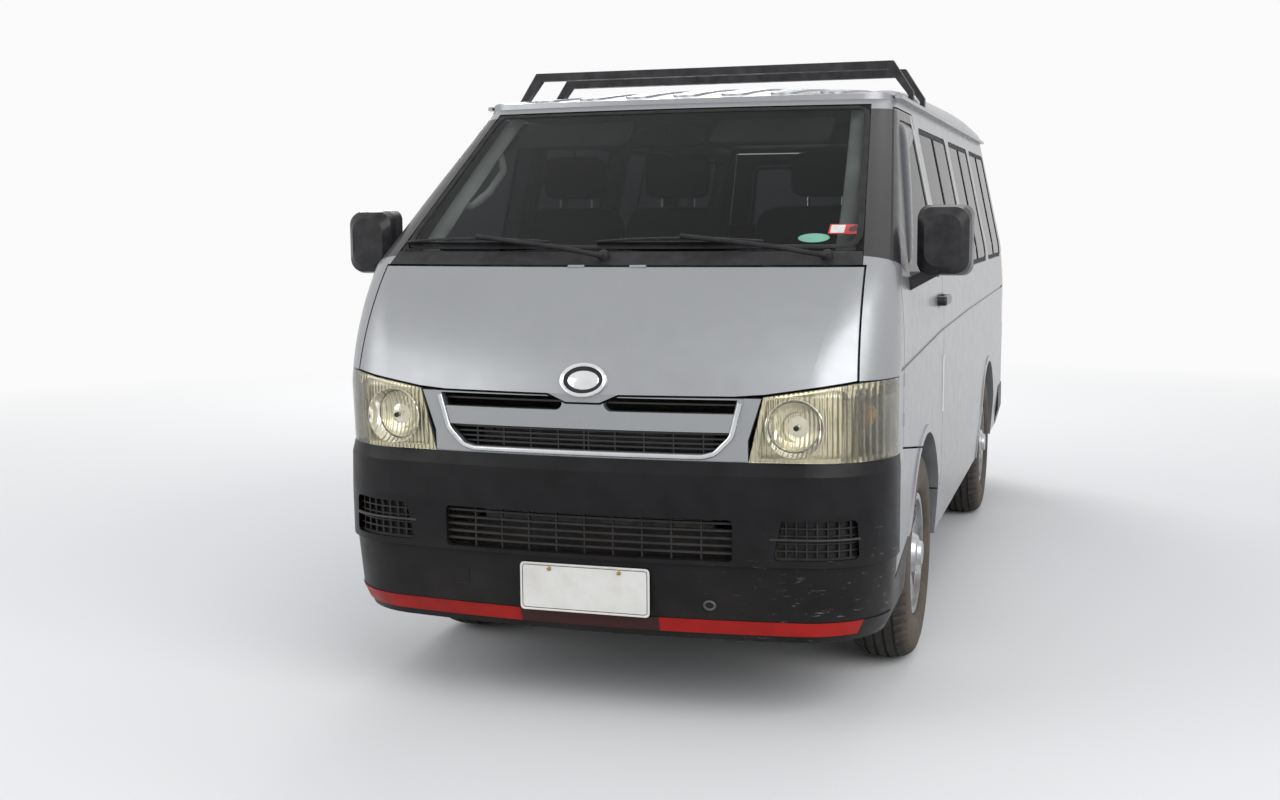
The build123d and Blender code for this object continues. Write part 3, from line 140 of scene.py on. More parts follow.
# Shapes: each is a pair of an array of points and a list of faces

CORNER_STEPS = 6


def grid_faces(rows, cols, wrap_rows=False, wrap_cols=False):
    """Quads of a grid of points: each cell joins a point to its right, lower right and lower neighbours."""
    row = np.arange(rows if wrap_rows else rows - 1)[:, None]
    col = np.arange(cols if wrap_cols else cols - 1)[None, :]
    below = (row + 1) % rows
    right = (col + 1) % cols
    row, below = row * cols, below * cols
    return np.stack([row + col, row + right, below + right, below + col], axis=-1).reshape(-1, 4).tolist()


def capped(rows, cols):
    """Quads of rings of points, with the first and the last ring closed by a cap."""
    ends = [list(range(cols)), list(range((rows - 1) * cols, rows * cols))]
    return grid_faces(rows, cols, wrap_cols=True) + ends


def merge(*shapes):
    """One shape from several, with the faces counted on."""
    points, faces, start = [], [], 0
    for part_points, part_faces in shapes:
        points.append(part_points.reshape(-1, 3))
        faces += [[start + i for i in face] for face in part_faces]
        start += len(points[-1])
    return np.concatenate(points), faces


def moved(shape, offset):
    """The shape shifted by an offset."""
    return shape[0] + np.asarray(offset, float), shape[1]


def mirrored(shape):
    """The shape on the other side of the van: X changes sign and faces turn round."""
    return shape[0] * np.array([-1.0, 1.0, 1.0]), [face[::-1] for face in shape[1]]


def both(shape):
    """The shape and its mirror image."""
    return merge(shape, mirrored(shape))


def placed(shape, origin, across, up):
    """The shape's x and y laid along two directions, its z along their cross product, at an origin."""
    u = np.asarray(across, float)
    u = u / np.linalg.norm(u)
    v = np.asarray(up, float)
    v = v - u * (u @ v)
    v = v / np.linalg.norm(v)
    return shape[0] @ np.stack([u, v, np.cross(u, v)]) + np.asarray(origin, float), shape[1]


def rounded(corners, radius, steps=CORNER_STEPS):
    """Closed outline with each corner replaced by a quadratic curve from one side to the next."""
    corner = np.asarray(corners, float)
    before = np.roll(corner, 1, axis=0) - corner
    after = np.roll(corner, -1, axis=0) - corner
    before = before / np.linalg.norm(before, axis=1)[:, None]
    after = after / np.linalg.norm(after, axis=1)[:, None]
    half_angle = np.arccos(np.clip(np.sum(before * after, axis=1), -1, 1)) / 2
    cut = (radius / np.tan(half_angle))[:, None]
    t = np.linspace(0, 1, steps)[None, :, None]
    start = (corner + before * cut)[:, None]
    end = (corner + after * cut)[:, None]
    middle = corner[:, None]
    curve = (1 - t) ** 2 * start + 2 * t * (1 - t) * middle + t**2 * end
    return curve.reshape(-1, corner.shape[1])


def rectangle(width, height, radius):
    """Outline of a rectangle round the origin with rounded corners."""
    x, y = width / 2, height / 2
    return rounded([(-x, -y), (x, -y), (x, y), (-x, y)], radius)


def bent(path, radius, steps=CORNER_STEPS):
    """Open path whose inner corners are rounded."""
    path = np.asarray(path, float)
    return np.concatenate([path[:1], rounded(path, radius, steps)[steps:-steps], path[-1:]])


def drawn_in(outline, distance):
    """Closed outline with each point moved inwards, square to the outline there."""
    tangent = np.roll(outline, -1, axis=0) - np.roll(outline, 1, axis=0)
    inward = np.stack([-tangent[:, 1], tangent[:, 0]], axis=1)
    inward = inward / np.linalg.norm(inward, axis=1)[:, None]
    area = np.sum(outline[:, 0] * np.roll(outline[:, 1], -1) - outline[:, 1] * np.roll(outline[:, 0], -1))
    return outline + inward * np.sign(area) * distance


def flat_at(outline, height):
    """Outline of x and y made into points at one height."""
    return np.concatenate([outline, np.full((len(outline), 1), height)], axis=1)


def evenly(path, spacing, closed=False):
    """The path resampled so that its points lie one spacing apart along its length."""
    path = np.asarray(path, float)
    if closed:
        path = np.concatenate([path, path[:1]])
    length = np.concatenate([[0], np.cumsum(np.linalg.norm(np.diff(path, axis=0), axis=1))])
    count = max(int(length[-1] / spacing), 2)
    marks = np.linspace(0, length[-1], count + 1)
    if closed:
        marks = marks[:-1]
    return np.stack([np.interp(marks, length, path[:, k]) for k in range(path.shape[1])], axis=1)


def swept(path, profile, up, closed=False, swell=1.0):
    """A closed profile carried along a path: point = path + (side * profile x + up * profile y) * swell."""
    path = np.asarray(path, float)
    up = np.broadcast_to(np.asarray(up, float), path.shape)
    if closed:
        tangent = np.roll(path, -1, axis=0) - np.roll(path, 1, axis=0)
    else:
        tangent = np.gradient(path, axis=0)
    tangent = tangent / np.linalg.norm(tangent, axis=1)[:, None]
    side = np.cross(tangent, up)
    side = side / np.linalg.norm(side, axis=1)[:, None]
    lift = np.cross(side, tangent)
    profile = np.asarray(profile, float)
    swell = np.broadcast_to(np.asarray(swell, float), len(path))[:, None, None]
    section = side[:, None] * profile[None, :, :1] + lift[:, None] * profile[None, :, 1:]
    points = (path[:, None] + section * swell).reshape(-1, 3)
    if closed:
        return points, grid_faces(len(path), len(profile), wrap_rows=True, wrap_cols=True)
    return points, capped(len(path), len(profile))


def ring_profile(radius, count=10, flat=1.0):
    """Circle, or an ellipse lower by a share, as a profile."""
    angle = np.linspace(0, 2 * np.pi, count, endpoint=False)
    return np.stack([radius * np.cos(angle), radius * flat * np.sin(angle)], axis=1)


def tube(path, radius, spacing=0.02, up=(0, 0, 1), bend=0.0):
    """Round bar along a path of a few points, its corners rounded by a bend."""
    if bend:
        path = bent(path, bend)
    return swept(evenly(path, spacing), ring_profile(radius), up)


def turned(profile, count=48):
    """A profile of (distance, height) turned about the z axis; ends on the axis are closed by a cap."""
    profile = np.asarray(profile, float)
    angle = np.linspace(0, 2 * np.pi, count, endpoint=False)
    distance, height = profile[:, 0], profile[:, 1]
    points = np.stack([
        distance[:, None] * np.cos(angle)[None],
        distance[:, None] * np.sin(angle)[None],
        np.broadcast_to(height[:, None], (len(profile), count)),
    ], axis=-1)
    return points.reshape(-1, 3), capped(len(profile), count)


def lid(outline, steps):
    """Terraced cover: each step is the outline drawn in by an inset and raised to a height, then capped."""
    outline = np.asarray(outline, float)
    inward = drawn_in(outline, 1.0) - outline
    steps = np.asarray(steps, float)
    flat = outline[None] + inward[None] * steps[:, None, :1]
    height = np.broadcast_to(steps[:, None, 1:], (len(steps), len(outline), 1))
    return np.concatenate([flat, height], axis=-1).reshape(-1, 3), capped(len(steps), len(outline))


def oval(width, height, count=48, power=2.0):
    """Outline x = a cos^(2/p), y = b sin^(2/p) of the angle."""
    angle = np.linspace(0, 2 * np.pi, count, endpoint=False)
    c, s = np.cos(angle), np.sin(angle)
    return np.stack([
        width / 2 * np.sign(c) * np.abs(c) ** (2 / power),
        height / 2 * np.sign(s) * np.abs(s) ** (2 / power),
    ], axis=1)


def dome(width, height, rise, rings=8):
    """Half of an ellipsoid: each ring is the oval shrunk by cos t and raised by sin t, t up to 90 degrees."""
    turn = np.linspace(0, 0.49 * np.pi, rings)
    outline = oval(width, height)
    flat = outline[None] * np.cos(turn)[:, None, None]
    lift = np.broadcast_to((rise * np.sin(turn))[:, None, None], (rings, len(outline), 1))
    return np.concatenate([flat, lift], axis=-1).reshape(-1, 3), capped(rings, len(outline))


def pillow(width, depth, height, power=5.0, crown=0.12, channels=(), count=64):
    """Closed cushion: a superellipsoid whose top and bottom swell by a crown and sink along sewn channels.

    With a the turn round it and b the rise, x = w cos^q b cos^q a, y = d cos^q b sin^q a and z = h sin^q b,
    where q = 2 / power. Then z grows by crown times (1 - x^2)(1 - y^2) and loses a bell at each channel."""
    channel_half = 0.010
    turn = np.linspace(0, 2 * np.pi, count, endpoint=False)[None, :]
    rise = np.linspace(-np.pi / 2, np.pi / 2, count // 2 + 1)[:, None]
    q = 2 / power

    def squared(value):
        return np.sign(value) * np.abs(value) ** q

    x = squared(np.cos(rise)) * squared(np.cos(turn))
    y = squared(np.cos(rise)) * squared(np.sin(turn))
    z = squared(np.sin(rise)) * np.ones_like(turn)
    z = z * (1 + crown * (1 - x**2) * (1 - y**2))
    for place, sink in channels:
        bell = np.exp(-((y * depth / 2 - place) / channel_half) ** 2)
        z = z - np.sign(z) * sink / height * 2 * bell * (np.abs(z) > 0.4)
    points = np.stack([x * width / 2, y * depth / 2, z * height / 2 / (1 + crown)], axis=-1)
    faces = grid_faces(len(rise), count, wrap_cols=True)
    return points.reshape(-1, 3), faces


# Seating on the frame

# Each view: its two axes across, the axis along it, and the sign of its outward direction
VIEWS = {
    "front": (0, 2, 1, -1), "back": (0, 2, 1, 1), "left": (1, 2, 0, 1), "right": (1, 2, 0, -1),
}


def corners_of(names):
    """Corner points of every triangle of some CAD nodes."""
    found = []
    for name in names:
        mesh = NODES[name].data
        mesh.calc_loop_triangles()
        co = np.empty(len(mesh.vertices) * 3)
        mesh.vertices.foreach_get("co", co)
        index = np.empty(len(mesh.loop_triangles) * 3, int)
        mesh.loop_triangles.foreach_get("vertices", index)
        found.append(co.reshape(-1, 3)[index.reshape(-1, 3)])
    return np.concatenate(found)


def seat_on(names, view, points):
    """Points seen along an axis, set on the outermost surface of CAD nodes there.

    Each point is written as p0 + u (p1 - p0) + v (p2 - p0) of every triangle. Where u, v and 1 - u - v are
    all positive the triangle covers it, and the outermost depth counts."""
    first, second, deep, sign = VIEWS[view]
    points = np.asarray(points, float)
    corners = corners_of(names)
    flat = corners[:, :, [first, second]]
    depth = corners[:, :, deep] * sign
    one, two = flat[:, 1] - flat[:, 0], flat[:, 2] - flat[:, 0]
    area = one[:, 0] * two[:, 1] - one[:, 1] * two[:, 0]
    keep = np.abs(area) > 1e-12
    flat, depth, one, two, area = flat[keep], depth[keep], one[keep], two[keep], area[keep]
    rel = points[:, None] - flat[None, :, 0]
    u = (rel[..., 0] * two[:, 1] - rel[..., 1] * two[:, 0]) / area
    v = (rel[..., 1] * one[:, 0] - rel[..., 0] * one[:, 1]) / area
    slack = 1e-4
    covered = (u >= -slack) & (v >= -slack) & (u + v <= 1 + slack)
    found = depth[:, 0] + u * (depth[:, 1] - depth[:, 0]) + v * (depth[:, 2] - depth[:, 0])
    best = np.where(covered, found, -np.inf).max(axis=1)
    if not np.isfinite(best).all():
        raise ValueError(f"nothing of {names} lies behind {points[~np.isfinite(best)][0]}")
    seated = np.empty((len(points), 3))
    seated[:, first] = points[:, 0]
    seated[:, second] = points[:, 1]
    seated[:, deep] = best * sign
    return seated


def facing(names, view, points, reach=0.004):
    """Outward directions of the surface at points, from its slopes over a short reach."""
    first, second, deep, sign = VIEWS[view]
    points = np.asarray(points, float)
    base = seat_on(names, view, points)[:, deep]
    slope_first = (seat_on(names, view, points + [reach, 0])[:, deep] - base) / reach
    slope_second = (seat_on(names, view, points + [0, reach])[:, deep] - base) / reach
    out = np.empty((len(points), 3))
    out[:, deep] = sign
    out[:, first] = -slope_first * sign
    out[:, second] = -slope_second * sign
    return out / np.linalg.norm(out, axis=1)[:, None]


def strip(start, end, half, rise, nodes, view, count=14):
    """Flat bar with bevelled edges, laid along a straight line on CAD nodes."""
    line = np.linspace(start, end, count)
    profile = [(-half, -0.0006), (half, -0.0006), (half, rise * 0.6), (half * 0.8, rise), (-half * 0.8, rise),
               (-half, rise * 0.6)]
    return swept(seat_on(nodes, view, line), profile, facing(nodes, view, line))


def laid(shape, spot, nodes, view="front"):
    """The shape's x and y wrapped onto CAD nodes round a spot, its z along the outward direction there."""
    out = facing(nodes, view, [spot])[0]
    steep = math.hypot(out[0], out[1])
    points = shape[0]
    base = seat_on(nodes, view, np.asarray(spot) + points[:, :2] * (1, steep))
    return base + out * points[:, 2:], shape[1]


# Objects


def build(name, shape, body, material, crease=35, merge_points=True):
    """A mesh object from a shape, with outward faces, riding on a body."""
    points, faces = shape
    mesh = bpy.data.meshes.new(name)
    mesh.from_pydata(points.reshape(-1, 3).tolist(), [], faces)
    work = bmesh.new()
    work.from_mesh(mesh)
    if merge_points:
        bmesh.ops.remove_doubles(work, verts=work.verts, dist=1e-6)
    bmesh.ops.recalc_face_normals(work, faces=work.faces)
    work.to_mesh(mesh)
    work.free()
    mesh.shade_smooth()
    mesh.set_sharp_from_angle(angle=math.radians(crease))
    piece = bpy.data.objects.new(name, mesh)
    bpy.context.scene.collection.objects.link(piece)
    mesh.materials.append(material)
    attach(piece, body)
    return piece


# Finishes


class Web:
    """Wires the nodes of one material."""

    def __init__(self, name):
        self.material = bpy.data.materials.new(name)
        self.material.use_nodes = True
        self.tree = self.material.node_tree
        self.shader = self.tree.nodes["Principled BSDF"]
        self.place = self.add("ShaderNodeTexCoord").outputs["Object"]
        parts = self.add("ShaderNodeSeparateXYZ")
        self.join(self.place, parts.inputs[0])
        self.x, self.y, self.z = parts.outputs

    def add(self, kind, **values):
        """A node of a kind, with its settings."""
        node = self.tree.nodes.new(kind)
        for key, value in values.items():
            setattr(node, key, value)
        return node

    def join(self, source, socket):
        """Link a socket, or set it where the source is a plain number or colour."""
        if isinstance(source, bpy.types.NodeSocket):
            self.tree.links.new(source, socket)
        elif isinstance(source, (int, float)):
            socket.default_value = source
        else:
            opaque = (1.0,) * (len(socket.default_value) - len(source))
            socket.default_value = tuple(source) + opaque

    def stretched(self, scale):
        """The place with each axis scaled."""
        node = self.add("ShaderNodeMapping")
        self.join(self.place, node.inputs["Vector"])
        node.inputs["Scale"].default_value = scale
        return node.outputs[0]

    def noise(self, scale, detail=4.0, rough=0.55, stretch=None, bend=0.0):
        """Cloudy noise over the piece."""
        node = self.add("ShaderNodeTexNoise")
        self.join(self.place if stretch is None else self.stretched(stretch), node.inputs["Vector"])
        node.inputs["Scale"].default_value = scale
        node.inputs["Detail"].default_value = detail
        node.inputs["Roughness"].default_value = rough
        node.inputs["Distortion"].default_value = bend
        return node.outputs[0]

    def cells(self, scale):
        """Distance to the nearest of scattered points."""
        node = self.add("ShaderNodeTexVoronoi")
        self.join(self.place, node.inputs["Vector"])
        node.inputs["Scale"].default_value = scale
        return node.outputs["Distance"]

    def waves(self, scale, direction="X", bend=0.0):
        """Even bands along an axis."""
        node = self.add("ShaderNodeTexWave", bands_direction=direction)
        self.join(self.place, node.inputs["Vector"])
        node.inputs["Scale"].default_value = scale
        node.inputs["Distortion"].default_value = bend
        return node.outputs[1]

    def span(self, value, low, high, to_low=0.0, to_high=1.0):
        """Value carried from one span to another, held at its ends."""
        node = self.add("ShaderNodeMapRange")
        spans = {"Value": value, "From Min": low, "From Max": high, "To Min": to_low, "To Max": to_high}
        for key, number in spans.items():
            self.join(number, node.inputs[key])
        return node.outputs[0]

    def maths(self, operation, one, two=0.0):
        """One sum of two values."""
        node = self.add("ShaderNodeMath", operation=operation)
        self.join(one, node.inputs[0])
        self.join(two, node.inputs[1])
        return node.outputs[0]

    def blend(self, share, one, two):
        """The first colour at share 0 and the second at 1."""
        node = self.add("ShaderNodeMix", data_type="RGBA")
        self.join(share, node.inputs[0])
        self.join(one, node.inputs[6])
        self.join(two, node.inputs[7])
        return node.outputs[2]

    def clouded(self, scale, detail, one, two):
        """Two colours mixed in soft patches."""
        return self.blend(self.span(self.noise(scale, detail), 0.35, 0.7), one, two)

    def patchy(self, scale, detail, low, high):
        """A value that drifts between two bounds."""
        return self.span(self.noise(scale, detail), 0.3, 0.7, low, high)

    def distance(self, x, y):
        """Length of a vector across: the root of x^2 + y^2."""
        squares = self.maths("ADD", self.maths("MULTIPLY", x, x), self.maths("MULTIPLY", y, y))
        return self.maths("SQRT", squares)

    def bump(self, height, depth, strength=1.0):
        """Relief from a height, on the shader."""
        node = self.add("ShaderNodeBump")
        self.join(height, node.inputs["Height"])
        node.inputs["Distance"].default_value = depth
        node.inputs["Strength"].default_value = strength
        self.join(node.outputs[0], self.shader.inputs["Normal"])

    def finish(self, colour=None, roughness=None, **values):
        """Sets the shader's inputs and gives the material."""
        if colour is not None:
            self.join(colour, self.shader.inputs["Base Color"])
        if roughness is not None:
            self.join(roughness, self.shader.inputs["Roughness"])
        for key, value in values.items():
            self.join(value, self.shader.inputs[key.replace("_", " ")])
        return self.material


def shade(colour, factor):
    """The colour made lighter or darker by a factor."""
    return tuple(min(c * factor, 1.0) for c in colour)


def road_dust(web, colour, low=0.25, high=0.95, most=0.55):
    """Dust that grows towards the road, broken up by noise."""
    height = web.span(web.z, low, high, most, 0.0)
    cloud = web.span(web.noise(3.5, 6.0, 0.6), 0.35, 0.7)
    return web.blend(web.maths("MULTIPLY", height, cloud), colour, colours().dust)


def within(web, value, low, high, soft=0.0012):
    """1 between two values, with soft ends."""
    above, below = web.span(value, low - soft, low + soft), web.span(value, high + soft, high - soft)
    return web.maths("MULTIPLY", above, below)


# Black fields on the paint: heights, and setbacks of their front and rear ends
FRAME_HEIGHTS, FRAME_RUN = (1.20, 1.796), (0.20, 1.408)
HANDLE_HEIGHTS, DOOR_HANDLE_RUN, SLIDE_HANDLE_RUN = (1.136, 1.184), (1.272, 1.458), (1.537, 1.723)


def blackened(web):
    """1 on the windscreen pillars and the front doors' window frames, and round the door handles."""

    def field(heights, run):
        along = within(web, web.y, at(run[0]), at(run[1]))
        return web.maths("MULTIPLY", within(web, web.z, *heights), along)

    edge = web.span(web.y, at(0.33), at(0.63), 1.345, 1.248)
    above = web.maths("GREATER_THAN", web.z, edge)
    frame_part = web.maths("MULTIPLY", field(FRAME_HEIGHTS, FRAME_RUN), above)
    handle = field(HANDLE_HEIGHTS, DOOR_HANDLE_RUN)
    slide = web.maths("MULTIPLY", field(HANDLE_HEIGHTS, SLIDE_HANDLE_RUN), web.maths("LESS_THAN", web.x, 0.0))
    return web.maths("MAXIMUM", frame_part, web.maths("MAXIMUM", handle, slide))


def body_paint():
    """Silver paint with fine flakes, haze and road dust, black on the pillars and round the handles."""
    web = Web("body_silver")
    silver = colours().silver
    flakes = web.span(web.noise(1400.0, 2.0), 0.3, 0.7)
    base = web.blend(flakes, shade(silver, 0.90), shade(silver, 1.10))
    haze = web.span(web.noise(2.2, 5.0, 0.6), 0.4, 0.75, 0.0, 0.16)
    base = web.blend(haze, base, shade(silver, 0.72))
    base = road_dust(web, base, 0.28, 0.80, 0.40)
    black = blackened(web)
    base = web.blend(black, base, (0.016, 0.016, 0.018))
    web.join(web.span(black, 0.0, 1.0, 0.62, 0.0), web.shader.inputs["Metallic"])
    return web.finish(base, web.patchy(18.0, 5.0, 0.30, 0.40),
                      Coat_Weight=0.22, Coat_Roughness=0.08, Specular_IOR_Level=0.3)


def bumper_black():
    """Satin black plastic, scratched on one low corner."""
    web = Web("bumper_satin_black")
    black = colours().bumper
    base = web.clouded(9.0, 6.0, black, shade(black, 1.9))
    corner = web.maths("MULTIPLY", web.span(web.x, 0.30, 0.66), web.span(web.z, 0.66, 0.40))
    scratch = web.span(web.noise(34.0, 8.0, 0.72, stretch=(0.5, 0.5, 3.0)), 0.60, 0.68)
    base = web.blend(web.maths("MULTIPLY", corner, scratch), base, (0.20, 0.19, 0.18))
    base = road_dust(web, base, 0.25, 0.55, 0.10)
    web.bump(web.noise(420.0, 3.0), 0.0004, 0.3)
    return web.finish(base, web.patchy(14.0, 5.0, 0.32, 0.46), Specular_IOR_Level=0.16)


def black_trim(name="trim_black", tone=(0.012, 0.012, 0.013), rough=(0.45, 0.62), grain=380.0):
    """Grained black plastic with dust low down."""
    web = Web(name)
    base = web.clouded(24.0, 5.0, tone, shade(tone, 2.2))
    base = road_dust(web, base, 0.25, 0.9, 0.25)
    web.bump(web.noise(grain, 3.0), 0.0004, 0.4)
    return web.finish(base, web.patchy(30.0, 4.0, *rough), Specular_IOR_Level=0.22)


def grille_finish():
    """Silver on the grille's frame and black on the slats set back in it."""
    web = Web("grille_silver_and_slats")
    silver = colours().silver
    bow = web.maths("DIVIDE", web.maths("MULTIPLY", web.x, web.x), 2 * NOSE_BOW)
    depth = web.maths("SUBTRACT", web.maths("SUBTRACT", web.y, at(0.0)), bow)
    slats = (0.0385, 0.0395)
    dark = web.span(depth, *slats)
    bright = web.blend(web.span(web.noise(900.0, 2.0), 0.3, 0.7), shade(silver, 0.95), shade(silver, 1.15))
    base = web.blend(dark, bright, (0.012, 0.012, 0.013))
    web.join(web.span(depth, *slats, 0.75, 0.0), web.shader.inputs["Metallic"])
    return web.finish(base, web.patchy(20.0, 4.0, 0.28, 0.40))


def tinted_glass(name="glass_dark_tint", tint=None, bending=1.08):
    """Clear pane behind an uneven dark film."""
    web = Web(name)
    film = web.span(web.noise(1.6, 4.0), 0.35, 0.7)
    tint = tuple(tint or colours().tint)
    base = web.blend(film, shade(tint, 0.85), shade(tint, 1.2))
    smear = web.span(web.noise(5.0, 6.0, 0.6, stretch=(1.0, 1.0, 2.4)), 0.5, 0.85, 0.0, 0.03)
    return web.finish(base, smear, Transmission_Weight=1.0, IOR=bending, Specular_IOR_Level=0.4)


def lamp_lens():
    """Yellowed clear plastic, ribbed over the signal's end."""
    web = Web("lens_aged_clear")
    lens = colours().lens
    age = web.span(web.noise(7.0, 6.0, 0.62), 0.35, 0.72)
    base = web.blend(age, lens, shade(lens, 0.88))
    outer = web.span(web.maths("ABSOLUTE", web.x), 0.715, 0.722)
    ribs = web.maths("MULTIPLY", web.waves(95.0, "Z"), outer)
    web.bump(ribs, 0.0016, 0.8)
    haze = web.span(web.noise(16.0, 5.0), 0.3, 0.75, 0.0, 0.07)
    return web.finish(base, haze, Transmission_Weight=0.97, IOR=1.35)


def reflector_bright(name="reflector_bright", tone=(0.78, 0.76, 0.66)):
    """Fluted bright metal behind the lenses."""
    web = Web(name)
    base = web.clouded(12.0, 4.0, tone, shade(tone, 0.7))
    web.bump(web.waves(24.0, "X", 0.6), 0.004, 0.8)
    return web.finish(base, web.patchy(40.0, 3.0, 0.12, 0.26), Metallic=0.9)


def red_lens():
    """Ribbed red lens with an amber field above and a pale one below."""
    web = Web("tail_lens_red")
    amber = web.span(web.z, 1.128, 1.130)
    clear = web.span(web.z, 1.016, 1.014)
    base = web.blend(amber, (0.36, 0.012, 0.010), (0.60, 0.20, 0.02))
    base = web.blend(web.maths("MULTIPLY", clear, web.span(web.z, 0.960, 0.962)), base, (0.62, 0.60, 0.56))
    base = road_dust(web, base, 0.8, 1.2, 0.18)
    web.bump(web.waves(70.0, "Z"), 0.0010, 0.6)
    return web.finish(base, web.patchy(18.0, 4.0, 0.08, 0.2), Coat_Weight=0.8)


def lip_red():
    """Faded red that is dark across the middle, chipped, and black beyond its ends."""
    web = Web("lip_faded_red")
    red = colours().lip
    base = web.clouded(8.0, 6.0, red, shade(red, 0.62))
    # Dark red across the middle, about the width of the number plate above it.
    middle = within(web, web.x, -0.205, 0.215, 0.003)
    base = web.blend(middle, base, (0.050, 0.014, 0.013))
    reach = web.maths("SUBTRACT", web.maths("ABSOLUTE", web.x), web.maths("MULTIPLY", web.z, 0.45))
    base = web.blend(web.span(reach, 0.625, 0.628), base, colours().bumper)
    chips = web.span(web.noise(55.0, 6.0, 0.7), 0.66, 0.70)
    base = web.blend(chips, base, (0.05, 0.045, 0.04))
    web.bump(web.noise(60.0, 4.0), 0.0006, 0.4)
    return web.finish(base, web.patchy(20.0, 4.0, 0.34, 0.50), Specular_IOR_Level=0.25)


def tyre_rubber():
    """Black rubber with dusty walls."""
    web = Web("tyre_dusty_rubber")
    rubber = colours().rubber
    base = web.clouded(30.0, 5.0, rubber, shade(rubber, 2.4))
    dusty = web.span(web.noise(9.0, 6.0, 0.62), 0.30, 0.62, 0.15, 0.75)
    across = web.maths("SUBTRACT", web.maths("ABSOLUTE", web.x), WHEEL_X)
    wall = web.span(web.maths("ABSOLUTE", across), 0.070, 0.088)
    base = web.blend(web.maths("MULTIPLY", dusty, wall), base, shade(colours().dust, 0.62))
    web.bump(web.noise(260.0, 4.0), 0.0006, 0.5)
    return web.finish(base, web.patchy(22.0, 4.0, 0.72, 0.92))


def wheel_silver():
    """Silver paint with brown grime."""
    web = Web("wheel_silver")
    tone = (0.47, 0.48, 0.49)
    base = web.blend(web.span(web.noise(700.0, 2.0), 0.3, 0.7), shade(tone, 0.92), shade(tone, 1.08))
    grime = web.span(web.noise(14.0, 6.0, 0.6), 0.48, 0.75, 0.0, 0.55)
    base = web.blend(grime, base, shade(colours().dust, 0.8))
    return web.finish(base, web.patchy(20.0, 4.0, 0.24, 0.42), Metallic=0.8)


def spare_finish():
    """Rubber outside the rim's radius, painted steel inside it."""
    web = Web("spare_rubber_and_steel")
    reach = web.distance(web.x, web.maths("SUBTRACT", web.y, at(SPARE_SETBACK)))
    steel = web.span(reach, 0.192, 0.189)
    rubber = web.clouded(30.0, 5.0, colours().rubber, shade(colours().rubber, 2.4))
    base = web.blend(steel, rubber, (0.20, 0.20, 0.205))
    dirt = web.span(web.noise(7.0, 6.0, 0.65), 0.42, 0.72, 0.0, 0.6)
    base = web.blend(dirt, base, shade(colours().dust, 0.6))
    web.bump(web.noise(90.0, 4.0), 0.0010, 0.5)
    return web.finish(base, web.patchy(20.0, 4.0, 0.6, 0.85))


def under_metal(name="under_black_coat", tone=(0.022, 0.021, 0.020)):
    """Dull dark coat with dirt."""
    web = Web(name)
    base = web.clouded(11.0, 6.0, tone, shade(tone, 2.0))
    dirt = web.span(web.noise(5.0, 6.0, 0.65), 0.45, 0.75, 0.0, 0.6)
    base = web.blend(dirt, base, shade(colours().dust, 0.6))
    web.bump(web.noise(90.0, 5.0), 0.0012, 0.5)
    return web.finish(base, web.patchy(20.0, 4.0, 0.6, 0.85))


def cast_grey():
    """Grey cast metal with rust."""
    web = Web("cast_grey_metal")
    base = web.clouded(16.0, 6.0, (0.13, 0.13, 0.125), (0.07, 0.066, 0.06))
    base = web.blend(web.span(web.noise(6.0, 6.0, 0.65), 0.55, 0.8, 0.0, 0.7), base, (0.10, 0.045, 0.02))
    web.bump(web.noise(150.0, 5.0), 0.0010, 0.6)
    return web.finish(base, web.patchy(20.0, 4.0, 0.5, 0.75), Metallic=0.6)


def exhaust_steel():
    """Steel that rusts in patches."""
    web = Web("exhaust_rusty_steel")
    rust = web.span(web.noise(13.0, 7.0, 0.65), 0.42, 0.66)
    base = web.blend(rust, (0.20, 0.18, 0.16), (0.13, 0.052, 0.022))
    web.bump(web.noise(120.0, 5.0), 0.0012, 0.6)
    return web.finish(base, web.span(rust, 0.0, 1.0, 0.38, 0.85), Metallic=0.55)


def seat_cloth():
    """Woven grey cloth, darker where it is worn."""
    web = Web("seat_cloth_grey")
    tone = colours().seats
    weave = web.maths("MULTIPLY", web.waves(240.0, "X"), web.waves(240.0, "Z"))
    base = web.blend(weave, shade(tone, 0.9), shade(tone, 1.1))
    base = web.blend(web.span(web.noise(7.0, 5.0), 0.35, 0.7, 0.0, 0.4), base, shade(tone, 0.55))
    web.bump(weave, 0.0004, 0.3)
    return web.finish(base, web.patchy(25.0, 4.0, 0.8, 0.95), Sheen_Weight=0.3)


def cabin_plastic(name="cabin_grain", tone=(0.05, 0.048, 0.044)):
    """Grained plastic of the cabin."""
    web = Web(name)
    base = web.clouded(8.0, 5.0, tone, shade(tone, 1.35))
    web.bump(web.cells(420.0), 0.0005, 0.6)
    return web.finish(base, web.patchy(20.0, 4.0, 0.5, 0.68))


def chrome(name="bright_chrome", tone=(0.78, 0.79, 0.80), rough=(0.06, 0.14)):
    """Polished metal, or satin where the tone and roughness say so."""
    web = Web(name)
    base = web.clouded(15.0, 5.0, tone, shade(tone, 0.85))
    return web.finish(base, web.patchy(30.0, 4.0, *rough), Metallic=1.0)


def plate_white():
    """Off-white enamel, slightly soiled."""
    web = Web("plate_white")
    base = web.blend(web.span(web.noise(9.0, 6.0), 0.4, 0.75), (0.80, 0.79, 0.76), (0.66, 0.63, 0.57))
    web.bump(web.noise(50.0, 3.0), 0.0004, 0.3)
    return web.finish(base, web.patchy(20.0, 4.0, 0.32, 0.46), Coat_Weight=0.3)


def plain(name, tone, rough, second=0.75, **values):
    """A small piece's finish: its colour clouded by noise."""
    web = Web(name)
    base = web.clouded(28.0, 5.0, tone, shade(tone, second))
    web.bump(web.noise(180.0, 3.0), 0.0003, 0.3)
    return web.finish(base, web.patchy(35.0, 4.0, rough, rough + 0.12), **values)


